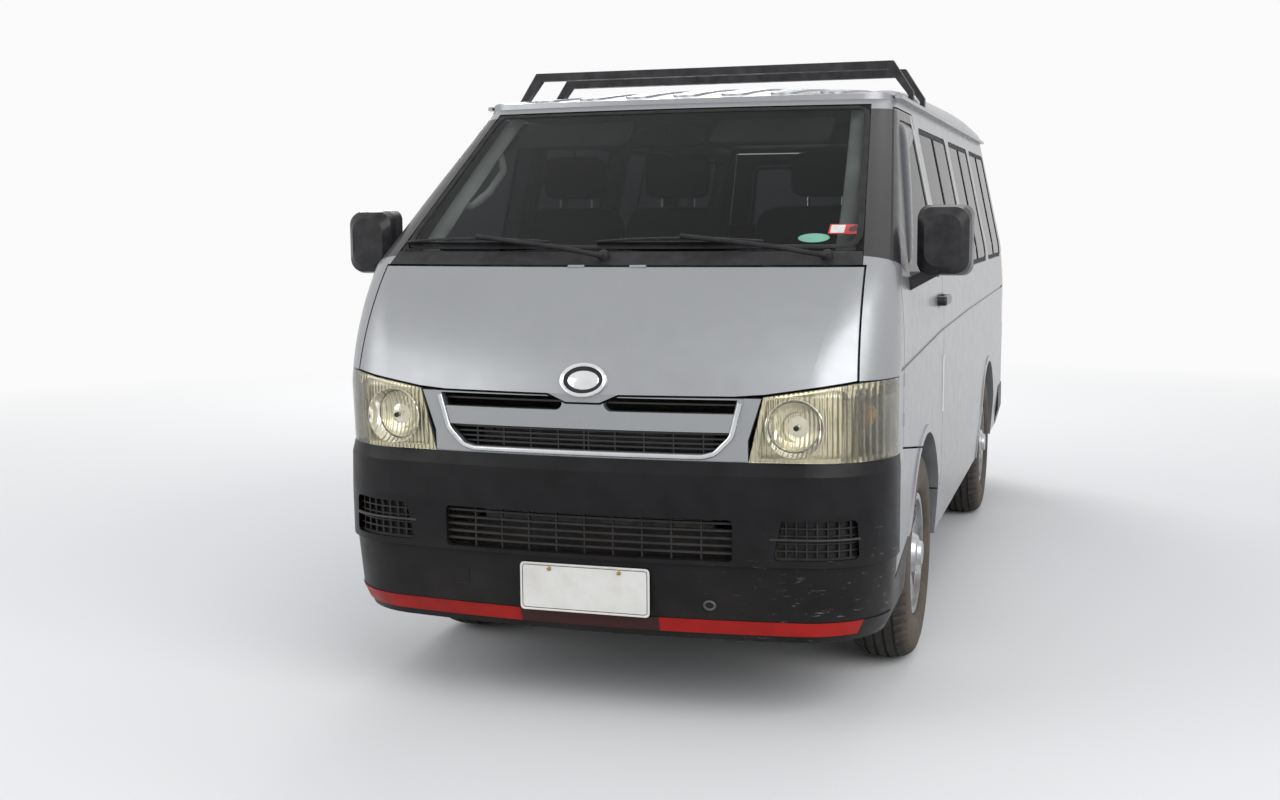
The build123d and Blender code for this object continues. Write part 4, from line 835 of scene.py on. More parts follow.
MATERIALS = {}


def material(name):
    """A finish by name, made once."""
    makers = {
        "paint": body_paint, "bumper": bumper_black, "trim": black_trim, "grille": grille_finish,
        "glass": tinted_glass, "spare": spare_finish, "lens": lamp_lens, "reflector": reflector_bright,
        "tail": red_lens, "lip": lip_red, "tyre": tyre_rubber, "wheel": wheel_silver, "under": under_metal,
        "cast": cast_grey, "exhaust": exhaust_steel, "cloth": seat_cloth, "cabin": cabin_plastic,
        "chrome": chrome, "plate": plate_white,
        "screen": lambda: tinted_glass("glass_windscreen", colours().screen, 1.16),
        "smoke": lambda: plain("visor_smoked_plastic", (0.026, 0.031, 0.040), 0.14, Specular_IOR_Level=0.22),
        "light_cabin": lambda: cabin_plastic("cabin_pale_grain", (0.74, 0.74, 0.66)),
        "bowl": lambda: reflector_bright("bowl_fluted_chrome", (0.90, 0.89, 0.82)),
        "cap": lambda: black_trim("mirror_cap_black", (0.016, 0.016, 0.017), (0.24, 0.36), 500.0),
        "satin": lambda: chrome("bright_satin", (0.62, 0.63, 0.64), (0.20, 0.32)),
        # Near black: the bulbs' tips and the plates' line, and painted shade in the towing eye's opening
        "dark": lambda: plain("near_black_and_painted_hole_shade", (0.006, 0.006, 0.006), 0.7),
        "rubber": lambda: black_trim("seal_rubber", (0.009, 0.009, 0.009), (0.55, 0.72), 250.0),
        "rack": lambda: black_trim("rack_black_paint", (0.020, 0.020, 0.021), (0.38, 0.55), 120.0),
        "flap": lambda: under_metal("flap_brown_rubber", (0.035, 0.024, 0.018)),
        "brass": lambda: plain("screw_brass", (0.42, 0.30, 0.12), 0.25, Metallic=1.0),
        "bulb": lambda: plain("bulb_glass", (0.85, 0.85, 0.82), 0.06, Transmission_Weight=0.9),
        "amber": lambda: plain("signal_amber", (0.75, 0.36, 0.10), 0.12, Coat_Weight=0.5),
        "mirror": lambda: plain("mirror_silvering", (0.85, 0.86, 0.87), 0.02, 0.97, Metallic=1.0),
        "green": lambda: plain("sticker_green", (0.16, 0.42, 0.30), 0.45),
        "white": lambda: plain("sticker_white", (0.75, 0.74, 0.72), 0.45),
        "red": lambda: plain("sticker_red", (0.55, 0.03, 0.03), 0.45),
    }
    if name not in MATERIALS:
        MATERIALS[name] = makers[name]()
    return MATERIALS[name]


NODE_FINISHES = {
    "paint": ["side_left", "side_right", "roof", "bonnet", "front_door_left", "front_door_right",
              "sliding_door", "tailgate"],
    "grille": ["grille"],
    "under": ["floor", "underframe", "fuel_tank", "prop_shaft", "rear_axle", "front_suspension"],
    "trim": ["cowl_panel", "bumper_grille", "wipers"],
    "cap": ["mirror_left", "mirror_right"],
    "bumper": ["front_bumper", "rear_bumper"],
    "screen": ["windscreen"],
    "glass": ["door_glass_left", "door_glass_right", "side_glass", "tailgate_glass"],
    "reflector": ["headlamps"],
    "lens": ["headlamp_lenses"],
    "tail": ["tail_lamps"],
    "lip": ["bumper_lip"],
    "rack": ["roof_rack"],
    "cabin": ["dashboard", "steering_wheel"],
    "cloth": ["front_seats", "rear_seats"],
    "cast": ["engine", "radiator", "knuckle_left", "knuckle_right"],
    "exhaust": ["exhaust"],
    "flap": ["mud_flaps"],
    "spare": ["spare_wheel"],
    "tyre": ["tyre_" + place for place in WHEELS],
    "wheel": ["rim_" + place for place in WHEELS],
}


# Pieces


def tyre_shape():
    """Tyre round the x axis at the origin: a superellipse section turned, with grooves and blocks cut in.

    The section is x = a sin^q t and r = c + b cos^q t. In the tread band the radius falls by the groove depth
    inside each groove round the tyre and, beyond the outer grooves, where the block's phase is in a slot."""
    depth, blocks = sizes().tread_depth, sizes().tread_blocks
    half_width, centre, half_height, q = 0.0972, 0.268, 0.0768, 2 / 3.1
    tread_half, groove, lip = 0.072, 0.0045, 0.0006
    rib_top, rib_height, rib_start, rib_turns = 0.318, 0.0008, 0.19, 260
    phases, slack = 6, 1e-5
    grooves = np.array([-0.046, -0.0155, 0.0155, 0.046])
    edges = (grooves[:, None] + np.array([-groove - lip, -groove, groove, groove + lip])[None]).ravel()
    tread_x = np.sort(np.concatenate([edges, [-tread_half, -0.060, -0.031, 0.0, 0.031, 0.060, tread_half]]))
    turn = np.arcsin(np.sign(tread_x) * (np.abs(tread_x) / half_width) ** (1 / q))
    wall = np.linspace(turn[-1], math.radians(143), 15)[1:]
    turn = np.concatenate([-wall[::-1], turn, wall])
    x = half_width * np.sign(np.sin(turn)) * np.abs(np.sin(turn)) ** q
    radius = centre + half_height * np.sign(np.cos(turn)) * np.abs(np.cos(turn)) ** q
    ribbed = (np.abs(x) > tread_half) & (radius < rib_top)
    radius = radius + ribbed * rib_height * np.sign(np.sin((radius - rib_start) * rib_turns))
    steps = blocks * phases
    angle = np.linspace(0, 2 * np.pi, steps, endpoint=False)
    phase = np.arange(steps) % phases
    in_groove = (np.abs(x[:, None] - grooves[None]) < groove + slack).any(axis=1)
    shoulder = (np.abs(x) > 0.0508) & (np.abs(x) <= 0.0865) & (radius > 0.30)
    slot = shoulder[:, None] & (phase < 2)[None]
    rib_slot = ((np.abs(x) < 0.041) & (np.abs(x) > 0.0206))[:, None] & (phase == 3)[None]
    cut = np.maximum(in_groove[:, None] * depth, np.maximum(slot * depth * 0.7, rib_slot * depth * 0.4))
    reach = radius[:, None] - cut
    points = np.stack([
        np.broadcast_to(x[:, None], reach.shape), reach * np.cos(angle)[None], reach * np.sin(angle)[None],
    ], axis=-1)
    return points.reshape(-1, 3), grid_faces(len(x), steps, wrap_rows=True, wrap_cols=True)


# Camera: the photograph's width and focal length in pixels, its place, and its yaw, pitch and roll in degrees
IMAGE_WIDTH = 1280
FOCAL_PIXELS = 1500.5
CAMERA_PLACE = (1.405, FRONT - 3.928, 1.444)
CAMERA_TURN = (-17.39, 6.85, -0.413)
# Lamps: name, place, target, size across and up, power
LAMPS = [
    ("key_softbox", (5.5, -6.5, 5.0), (0.0, -1.5, 0.8), (8.0, 6.0), 520.0),
    ("fill_softbox", (-6.5, -6.0, 3.5), (0.0, -1.5, 0.8), (7.0, 5.0), 210.0),
    ("top_softbox", (0.0, 4.5, 7.0), (0.0, 1.0, 1.0), (6.0, 4.0), 150.0),
    ("rear_softbox", (-4.0, 8.0, 4.5), (0.0, 1.5, 1.0), (5.0, 3.0), 300.0),
]
SEEN_WHITE = 0.96
ROOM_LIGHT = (0.46, 0.48, 0.51, 1)
FLOOR_SEEN, FLOOR_LIT = (0.80, 0.80, 0.80), (0.40, 0.40, 0.40)


class VAN_OT_stage(bpy.types.Operator):
    """Pale floor, soft lamps and the camera at the photograph's viewing angle"""

    bl_idname = "van.stage"
    bl_label = "Stage"

    def execute(self, context):
        scene = context.scene
        scene.view_settings.view_transform = "Standard"
        camera_data = bpy.data.cameras.new("camera")
        camera_data.sensor_width = sensor = 36.0
        camera_data.lens = sensor * FOCAL_PIXELS / IMAGE_WIDTH
        camera_data.clip_end = 200.0
        camera = bpy.data.objects.new("camera", camera_data)
        scene.collection.objects.link(camera)
        yaw, pitch, roll = (math.radians(a) for a in CAMERA_TURN)
        ahead = Vector((math.sin(yaw) * math.cos(pitch), math.cos(yaw) * math.cos(pitch), -math.sin(pitch)))
        right = Vector((math.cos(yaw), -math.sin(yaw), 0))
        over = right.cross(ahead)
        tilted_right = right * math.cos(roll) + over * math.sin(roll)
        tilted_up = over * math.cos(roll) - right * math.sin(roll)
        turn = Matrix((tilted_right, tilted_up, -ahead)).transposed().to_4x4()
        camera.matrix_world = Matrix.Translation(CAMERA_PLACE) @ turn
        scene.camera = camera
        self.floor(scene)
        self.world(scene)
        self.lamps(scene)
        return {"FINISHED"}

    def floor(self, scene):
        """Flat square under the wheels, at z = 0, that glows white far off for what the eye sees."""
        reach, count = 60.0, 9
        line = np.linspace(-reach, reach, count)
        x, y = np.meshgrid(line, line)
        mesh = bpy.data.meshes.new("studio_floor")
        points = np.stack([x, y, np.zeros_like(x)], axis=-1).reshape(-1, 3)
        mesh.from_pydata(points.tolist(), [], grid_faces(count, count))
        floor = bpy.data.objects.new("studio_floor", mesh)
        scene.collection.objects.link(floor)
        web = Web("studio_floor")
        path = web.add("ShaderNodeLightPath")
        bounced = web.maths("MAXIMUM", path.outputs["Is Glossy Ray"], path.outputs["Is Transmission Ray"])
        seen = web.maths("MAXIMUM", path.outputs["Is Camera Ray"], bounced)
        far = web.maths("MULTIPLY", seen, web.span(web.distance(web.x, web.y), 3.0, 9.0))
        base = web.blend(far, web.blend(seen, FLOOR_LIT, FLOOR_SEEN), (0.0, 0.0, 0.0))
        web.join((1.0, 1.0, 1.0), web.shader.inputs["Emission Color"])
        web.join(web.maths("MULTIPLY", far, SEEN_WHITE), web.shader.inputs["Emission Strength"])
        mesh.materials.append(web.finish(base, 0.9, Specular_IOR_Level=0.0))

    def world(self, scene):
        """Grey light all round, and white where it is seen."""
        world = bpy.data.worlds.new("studio")
        scene.world = world
        world.use_nodes = True
        tree = world.node_tree
        back = tree.nodes["Background"]
        path = tree.nodes.new("ShaderNodeLightPath")
        mix = tree.nodes.new("ShaderNodeMix")
        mix.data_type = "RGBA"
        seen = path.outputs["Is Camera Ray"]
        for ray in ("Is Glossy Ray", "Is Transmission Ray"):
            either = tree.nodes.new("ShaderNodeMath")
            either.operation = "MAXIMUM"
            tree.links.new(seen, either.inputs[0])
            tree.links.new(path.outputs[ray], either.inputs[1])
            seen = either.outputs[0]
        tree.links.new(seen, mix.inputs[0])
        mix.inputs[6].default_value = ROOM_LIGHT
        mix.inputs[7].default_value = (SEEN_WHITE, SEEN_WHITE, SEEN_WHITE, 1)
        tree.links.new(mix.outputs[2], back.inputs["Color"])
        back.inputs["Strength"].default_value = 1.0

    def lamps(self, scene):
        """Soft rectangles, each turned to its target."""
        for name, place, target, size, power in LAMPS:
            data = bpy.data.lights.new(name, "AREA")
            data.shape = "RECTANGLE"
            data.size, data.size_y = size
            data.energy = power
            lamp = bpy.data.objects.new(name, data)
            scene.collection.objects.link(lamp)
            away = Vector(place) - Vector(target)
            lamp.matrix_world = Matrix.Translation(place) @ away.to_track_quat("Z", "Y").to_matrix().to_4x4()


class VAN_OT_paint_frame(bpy.types.Operator):
    """A detailed finish on every piece of the frame that shows"""

    bl_idname = "van.paint_frame"
    bl_label = "Frame finishes"

    def execute(self, context):
        for name, nodes in NODE_FINISHES.items():
            for node in nodes:
                slots = NODES[node].data.materials
                slots.clear()
                slots.append(material(name))
        return {"FINISHED"}


# Valve: its points from the wheel's middle
VALVE = [(0.050, 0, 0.168), (0.066, 0, 0.160), (0.080, 0, 0.156)]


class VAN_OT_tyres(bpy.types.Operator):
    """Treaded tyres and their valves"""

    bl_idname = "van.tyres"
    bl_label = "Tyres"

    def execute(self, context):
        shape = tyre_shape()
        for place, (side, y) in WHEELS.items():
            centre = (side * WHEEL_X, y, AXLE_Z)
            wheel = "wheel_" + place
            tyre = build("tread_" + place, moved(shape, centre), wheel, material("tyre"), 30,
                         merge_points=False)
            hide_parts("tyre_" + place)
            valve = tube(VALVE, 0.0042, 0.004, up=(0, 1, 0))
            valve = valve if side > 0 else mirrored(valve)
            build("valve_" + place, moved(valve, centre), wheel, material("rubber"))
        return {"FINISHED"}


class VAN_OT_seals(bpy.types.Operator):
    """Black bands round the fixed panes and the windows"""

    bl_idname = "van.seals"
    bl_label = "Window seals"

    def band(self, name, corners, view, nodes, body, radius, inset):
        """A flat band on the glass: the outline drawn in by an inset, each point set on the pane."""
        outline = evenly(rounded(corners, radius), 0.03, closed=True)
        drawn = drawn_in(outline, inset)
        path = seat_on(nodes, view, drawn)
        up = facing(nodes, view, drawn)
        half = sizes().seal_width / 2
        profile = [(-half, -0.0004), (half, -0.0004), (half, 0.0010), (half - 0.002, 0.0018),
                   (-half + 0.002, 0.0018), (-half, 0.0010)]
        build(name, swept(path, profile, up, closed=True), body, material("rubber"))

    def execute(self, context):
        inset = sizes().seal_width * 0.62
        self.band("windscreen_border", SCREEN, "front", ["windscreen"], "root", 0.05, inset)
        self.band("tailgate_window_border", TAIL_WINDOW, "back", ["tailgate_glass"], "tailgate", 0.05, inset)
        for side in ("left", "right"):
            door = [(at(s), z) for s, z in DOOR_WINDOW]
            self.band("door_window_border_" + side, door, side, ["door_glass_" + side], "front_door_" + side,
                      0.03, inset)
            for number, ends in enumerate(SIDE_WINDOWS, 1):
                first, last = at(ends[0]), at(ends[1])
                pane = [(first, BELT_Z), (last, BELT_Z), (last, WINDOW_TOP), (first, WINDOW_TOP)]
                name = f"side_window_border_{side}_{number}"
                self.band(name, pane, side, ["side_glass"], "root", 0.042, inset)
        return {"FINISHED"}


class VAN_OT_plates(bpy.types.Operator):
    """Blank number plates with raised rims and two brass screws each"""

    bl_idname = "van.plates"
    bl_label = "Number plates"

    def execute(self, context):
        width, height = sizes().plate_width, sizes().plate_height
        half_x, half_z, gap = width / 2, height / 2, 0.003
        outline = rectangle(width, height, 0.014)
        plate = lid(outline, [(0.001, -0.0010), (0, 0), (0.0006, 0.0014), (0.0034, 0.0016), (0.0048, 0.0006),
                              (0.009, 0.0006)])
        line = evenly(flat_at(drawn_in(outline, 0.0075), 0.0007), 0.01, True)
        section = [(-0.0009, -0.0003), (0.0009, -0.0003), (0.0009, 0.0003), (-0.0009, 0.0003)]
        line = swept(line, section, (0, 0, 1), closed=True)
        screw = lid(oval(0.013, 0.013, 20), [(0, 0), (0, 0.0016), (0.002, 0.0026), (0.005, 0.0028)])
        screws = merge(*(moved(screw, (x, 0.054, 0.0008)) for x in (-0.105, 0.105)))
        pieces = [
            ("plate_", plate, "plate"), ("plate_line_", line, "dark"), ("plate_screws_", screws, "brass"),
        ]
        places = [
            ("front", "front_bumper", "front", "root", (0.0, 0.400), (1, 0, 0), (0, 0, 1)),
            ("rear", "tailgate", "back", "tailgate", (0.0, 0.905), (-1, 0, 0), (0, 0, 1)),
        ]
        for name, node, view, body, spot, across, up in places:
            x, z = np.meshgrid(np.linspace(-half_x, half_x, 9), np.linspace(-half_z, half_z, 7))
            behind = seat_on([node], view, np.stack([x.ravel() + spot[0], z.ravel() + spot[1]], axis=1))[:, 1]
            origin = (spot[0], behind.min() - gap if view == "front" else behind.max() + gap, spot[1])
            for start, shape, finish in pieces:
                build(start + name, placed(shape, origin, across, up), body, material(finish))
        return {"FINISHED"}


# Badge: its middle seen from the front
BADGE_SPOT = [(0.0, 0.997)]


class VAN_OT_badge(bpy.types.Operator):
    """Plain bright oval on the front"""

    bl_idname = "van.badge"
    bl_label = "Badge"

    def execute(self, context):
        origin = seat_on(["bonnet"], "front", BADGE_SPOT)[0]
        up = np.cross(facing(["bonnet"], "front", BADGE_SPOT)[0], (1, 0, 0))
        rim = swept(flat_at(oval(0.128, 0.090, 64), 0.0035), ring_profile(0.0065, 12), (0, 0, 1), closed=True)
        ground = lid(oval(0.124, 0.086, 64), [(0, -0.001), (0, 0.002), (0.004, 0.0025)])
        face = moved(dome(0.096, 0.058, 0.006), (0, 0, 0.001))
        for name, shape, finish in (
            ("badge_rim", rim, "chrome"), ("badge_ground", ground, "trim"), ("badge_face", face, "chrome"),
        ):
            shape = placed(shape, origin, (1, 0, 0), up)
            build(name, shape, "bonnet", material(finish))
        return {"FINISHED"}


# Middles of the reflector bowl and of the signal bulb: x and z
BOWL_SPOT = (0.600, 0.876)
SIGNAL_SPOT = (0.776, 0.905)


class VAN_OT_lamps(bpy.types.Operator):
    """Reflector bowls, bulbs with dark tips, collars and signal bulbs behind the lenses"""

    bl_idname = "van.lamps"
    bl_label = "Lamp insides"

    def execute(self, context):
        bulb = turned([(0.0, -0.004), (0.016, -0.004), (0.016, 0.004), (0.009, 0.006), (0.009, 0.030),
                       (0.006, 0.038), (0.0, 0.040)], 20)
        wall = [(0.020, 0.001), (0.044, 0.006), (0.058, 0.014), (0.069, 0.027), (0.077, 0.044),
                (0.081, 0.058)]
        thick, count = 0.0012, 56
        last = (2 * len(wall) - 1) * count
        bowl = turned(wall + [(r + thick, h - thick) for r, h in wall[::-1]], count)
        throat = [[last + (k + 1) % count, last + k, k, (k + 1) % count] for k in range(count)]
        bowl = bowl[0], [face for face in bowl[1] if len(face) == 4] + throat
        tip = turned([(0.0, 0.036), (0.0068, 0.036), (0.0062, 0.041), (0.0, 0.043)], 16)
        collar = turned([(0.017, -0.002), (0.030, -0.002), (0.030, 0.003), (0.018, 0.006)], 24)
        signal = dome(0.044, 0.060, 0.016)
        behind_bowl, behind_signal = seat_on(["headlamps"], "front", [BOWL_SPOT, SIGNAL_SPOT])
        for name, shape, spot, slot, finish in (
            ("headlamp_bowls", bowl, behind_bowl, "lamp_body", "bowl"),
            ("headlamp_bulbs", bulb, behind_bowl, "lamp_lens", "bulb"),
            ("headlamp_tips", tip, behind_bowl, "lamp_body", "dark"),
            ("headlamp_collars", collar, behind_bowl, "lamp_body", "chrome"),
            ("signal_bulbs", signal, behind_signal, "lamp_lens", "amber"),
        ):
            build(name, both(placed(shape, spot, (1, 0, 0), (0, 0, 1))), "root", material(finish))
        return {"FINISHED"}


# Wipers: x of the pivot and of the blade's middle
WIPERS = [(-0.020, -0.465), (0.635, 0.190)]
BLADE_Z, PIVOT_Z = 1.372, 1.335


class VAN_OT_wipers(bpy.types.Operator):
    """Wiper arms and blades parked low on the windscreen"""

    bl_idname = "van.wipers"
    bl_label = "Wipers"

    def execute(self, context):
        shapes, glass, count = [], ["windscreen"], 26
        half, middle = sizes().blade_length / 2, count // 2
        rubber = [(-0.003, 0.006), (-0.0012, -0.004), (0.0012, -0.004), (0.003, 0.006)]
        bow = 0.010 + 0.012 * (1 - np.linspace(-1, 1, count) ** 2)[:, None]
        post = turned([(0.0, -0.006), (0.017, -0.006), (0.017, 0.012), (0.012, 0.020), (0.0, 0.021)], 24)
        for pivot_x, middle_x in WIPERS:
            x = np.linspace(middle_x - half, middle_x + half, count)
            line = np.stack([x, np.full(count, BLADE_Z)], axis=1)
            rest, out = seat_on(glass, "front", line), facing(glass, "front", line)
            shapes.append(swept(rest + out * 0.004, rubber, out))
            shapes.append(swept(rest + out * bow, ring_profile(0.005, 8, 0.6), out))
            pivot = seat_on(["cowl_panel"], "front", [(pivot_x, PIVOT_Z)])[0]
            hook = rest[middle] + out[middle] * 0.030
            arm_path = [pivot + (0, -0.018, 0.004), (pivot + hook) / 2 + (0.06, -0.026, 0.0), hook]
            shapes.append(tube(arm_path, 0.0075, 0.02, up=out[middle], bend=0.05))
            shapes.append(placed(post, pivot, (1, 0, 0), np.cross(out[middle], (1, 0, 0))))
        piece = build("wiper_arms", merge(*shapes), "root", material("trim"))
        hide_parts("wipers")
        return {"FINISHED"}


# Front seats: x of the middle and width, then the row's setback, cushion's underside and back's top
FRONT_SEATS = [(0.420, 0.520), (-0.130, 0.400), (-0.530, 0.380)]
FRONT_ROW, FRONT_BASE, FRONT_TOP = 0.930, 0.820, 1.490
# Rear seats: setbacks of the rows, x of the middles, width, cushion's underside and back's top
REAR_ROWS = [2.000, 2.750, 3.520]
REAR_MIDDLES, REAR_WIDTH, REAR_BASE, REAR_TOP = (-0.31, 0.31), 0.61, 0.830, 1.420
# Legs under each rear row: x of both sides, height of the feet, and setbacks of feet and crown in the row
LEG_SIDES, FOOT_Z = (-0.48, 0.48), 0.602
FOOT_FRONT, LEG_CROWN, FOOT_REAR = 0.08, 0.25, 0.42


class VAN_OT_seats(bpy.types.Operator):
    """Crowned cushions, backs and head rests with sewn channels"""

    bl_idname = "van.seats"
    bl_label = "Seats"

    def seat(self, centre, width, setback, base, back_top):
        """Cushion and leaning back on the CAD seat's places."""
        cushion = pillow(width, 0.46, 0.15, 7.0, 0.16, [(-0.14, 0.006), (0.10, 0.006)])
        cushion = moved(cushion, (centre, at(setback + 0.24), base + 0.075))
        tall = back_top - base - 0.06
        back = pillow(width - 0.01, tall, 0.125, 7.0, 0.16, [(-0.16, 0.005), (0.02, 0.005), (0.18, 0.005)])
        lean = np.array([0, 0.115, back_top - base - 0.10])
        origin = np.array([centre, at(setback + 0.490), (base + 0.06 + back_top) / 2])
        return merge(cushion, placed(back, origin, (1, 0, 0), lean))

    def head_rest(self, centre, setback, back_top):
        """Padded rest over the seat back."""
        rest = pillow(0.244, 0.160, 0.086, 5.0, 0.14)
        middle = np.array([centre, at(setback + 0.532), back_top + 0.110])
        return placed(rest, middle, (1, 0, 0), (0, 0.06, 1))

    def rest_posts(self, centre, setback, back_top):
        """Two round posts that carry a head rest."""
        y = at(setback + 0.535)
        return merge(*(tube([(x, y, back_top - 0.030), (x, y, back_top + 0.06)], 0.006, 0.03, up=(1, 0, 0))
                       for x in (centre - 0.062, centre + 0.062)))

    def execute(self, context):
        fronts = [self.seat(x, w, FRONT_ROW, FRONT_BASE, FRONT_TOP) for x, w in FRONT_SEATS]
        fronts += [self.head_rest(x, FRONT_ROW, FRONT_TOP) for x, _ in FRONT_SEATS]
        posts = [self.rest_posts(x, FRONT_ROW, FRONT_TOP) for x, _ in FRONT_SEATS]
        build("head_rest_posts", merge(*posts), "root", material("chrome"))
        front = build("front_seat_cushions", merge(*fronts), "root", material("cloth"), 80)
        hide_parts("front_seats")
        rows = [self.seat(x, REAR_WIDTH, s, REAR_BASE, REAR_TOP) for s in REAR_ROWS for x in REAR_MIDDLES]
        rear = build("rear_seat_cushions", merge(*rows), "root", material("cloth"), 80)
        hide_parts("rear_seats")
        spots = [(x, s) for s in REAR_ROWS for x in LEG_SIDES]
        paths = [[(x, at(s + FOOT_FRONT), FOOT_Z), (x, at(s + LEG_CROWN), 0.70), (x, at(s + FOOT_REAR), FOOT_Z)]
                 for x, s in spots]
        legs = [tube(leg, 0.016, 0.02, up=(1, 0, 0), bend=0.05) for leg in paths]
        posts = [tube([(x, at(s + LEG_CROWN), 0.69), (x, at(s + LEG_CROWN), 0.85)], 0.02, 0.03, up=(1, 0, 0))
                 for x, s in spots]
        build("rear_seat_legs", merge(*legs, *posts), "root", material("rack"))
        return {"FINISHED"}


MIRROR_MIDDLE = (0.934, at(0.6362), 1.377)


class VAN_OT_mirrors(bpy.types.Operator):
    """Silvered glass in the back of each door mirror"""

    bl_idname = "van.mirrors"
    bl_label = "Mirror glass"

    def execute(self, context):
        glass = lid(oval(0.136, 0.182, 40, 6.0), [(0, -0.0004), (0, 0.001), (0.002, 0.0018), (0.012, 0.0020)])
        left = placed(glass, MIRROR_MIDDLE, (-1, 0, 0), (0, 0, 1))
        build("mirror_glass_left", left, "front_door_left", material("mirror"))
        build("mirror_glass_right", mirrored(left), "front_door_right", material("mirror"))
        return {"FINISHED"}


class VAN_OT_stickers(bpy.types.Operator):
    """Two small blank stickers low on the windscreen, one with a pale panel and a dark disc"""

    bl_idname = "van.stickers"
    bl_label = "Windscreen stickers"

    def execute(self, context):
        for name, outline, spot, finish in (
            ("sticker_oval", oval(0.090, 0.044, 40), (0.581, 1.388), "green"),
            ("sticker_square", rectangle(0.092, 0.048, 0.002), (0.664, 1.413), "red"),
            ("sticker_panel", rectangle(0.040, 0.038, 0.002), (0.643, 1.413), "white"),
            ("sticker_disc", oval(0.026, 0.028, 24), (0.687, 1.413), "under"),
        ):
            lift = 0.0012 if finish == "white" else 0.0004
            patch = lid(outline, [(0, 0), (0, lift), (0.0015, lift + 0.0002)])
            build(name, laid(patch, spot, ["windscreen"]), "root", material(finish))
        return {"FINISHED"}


class VAN_OT_side_trim(bpy.types.Operator):
    """Smoked door visors, bright pillar strips, window dividers and a door edge guard"""

    bl_idname = "van.side_trim"
    bl_label = "Side trim"

    def visor(self):
        """Bowed strip along the front and top of the left door's window, narrower at its ends.

        The swell over the run t from 0 to 1 is 0.35 + 0.65 sin(pi t)^0.5."""
        line = [(at(s), z) for s, z in ((0.625, 1.322), (1.090, 1.748), (1.385, 1.750))]
        line = evenly(bent(line, 0.10, 14), 0.03)
        nodes = ["front_door_left", "door_glass_left"]
        run = np.linspace(0, 1, len(line))
        swell = 0.35 + 0.65 * np.clip(np.sin(np.pi * run), 0, 1) ** 0.5
        across = np.array([(-0.012, 0.001), (0.000, 0.012), (0.022, 0.022), (0.052, 0.027), (0.086, 0.022)])
        profile = np.concatenate([across, across[::-1] - (0, 0.003)])
        return swept(seat_on(nodes, "left", line), profile, (1, 0, 0), swell=swell)

    def execute(self, context):
        visor = self.visor()
        build("door_visor_left", visor, "front_door_left", material("smoke"))
        build("door_visor_right", mirrored(visor), "front_door_right", material("smoke"))
        door = strip((at(1.436), 1.262), (at(1.436), 1.750), 0.014, 0.002, ["front_door_left"], "left")
        build("pillar_strip_door_left", door, "front_door_left", material("satin"))
        build("pillar_strip_door_right", mirrored(door), "front_door_right", material("satin"))
        for side in ("left", "right"):
            for number, (first, last) in enumerate(SIDE_WINDOWS, 1):
                middle = (at(first) + at(last)) / 2
                bar = strip((middle, 1.258), (middle, 1.745), 0.013, 0.003, ["side_glass"], side)
                build(f"window_divider_{side}_{number}", bar, "root", material("rubber"))
        guard = strip((at(1.452), 0.760), (at(1.452), 0.960), 0.007, 0.004, ["front_door_left"], "left")
        build("door_edge_guard", guard, "front_door_left", material("chrome"))
        return {"FINISHED"}


# Middle line of the raised rim round the grille's opening: x and z
GRILLE_RIM = [(0.4485, 0.944), (0.4235, 0.8475), (0.3765, 0.7995), (0.3410, 0.7905), (-0.3410, 0.7905),
              (-0.3765, 0.7995), (-0.4235, 0.8475), (-0.4485, 0.944)]
TOW_COVER, TOW_EYE = (-0.391, 0.409), (0.362, 0.372)
POCKET_BAR_Z, POCKET_BAR_ENDS, POCKET_BAR_SHIFT = 0.634, (0.532, 0.768), (0, 0.004, -0.066)


class VAN_OT_front_trim(bpy.types.Operator):
    """Square cover, towing eye over a near-black disc of painted shade for its opening, pocket bars in the
    front bumper, and the bead on the grille's rim
    """

    bl_idname = "van.front_trim"
    bl_label = "Bumper trim"

    def execute(self, context):
        bumper = ["front_bumper"]
        cover = lid(rectangle(0.050, 0.050, 0.005), [(0, -0.001), (0, 0.0014), (0.0012, 0.0018),
                                                     (0.0026, 0.0010), (0.0042, 0.0012)])
        hole = lid(oval(0.044, 0.034, 32), [(0, -0.001), (0, 0.0012), (0.004, 0.0006)])
        eye = swept(flat_at(oval(0.030, 0.024, 28), 0.004), ring_profile(0.0038, 10), (0, 0, 1), closed=True)
        # The towing eye's opening is a near-black disc raised on the bumper: painted shade where the hole would
        # be.
        for name, shape, spot, finish in (
            ("tow_cover", cover, TOW_COVER, "bumper"), ("tow_opening_painted_shade", hole, TOW_EYE, "dark"),
            ("tow_eye", eye, TOW_EYE, "cast"),
        ):
            build(name, laid(shape, spot, bumper), "root", material(finish))
        rim = seat_on(["grille"], "front", evenly(bent(GRILLE_RIM, 0.034), 0.012))
        bead = [(-0.0075, -0.0006), (0.0075, -0.0006), (0.0066, 0.0022), (0.0036, 0.0040), (-0.0036, 0.0040),
                (-0.0066, 0.0022)]
        build("grille_bead", swept(rim, bead, (0, -1, 0)), "root", material("satin"), 60)
        x = np.linspace(*POCKET_BAR_ENDS, 20)
        for side, sign in (("left", 1), ("right", -1)):
            line = np.stack([x * sign, np.full_like(x, POCKET_BAR_Z)], axis=1)
            bar = seat_on(bumper, "front", line) + POCKET_BAR_SHIFT
            bar = swept(bar, ring_profile(0.0055, 12, 0.8), (0, 0, 1))
            build("pocket_bar_" + side, bar, "root", material("cap"))
        return {"FINISHED"}


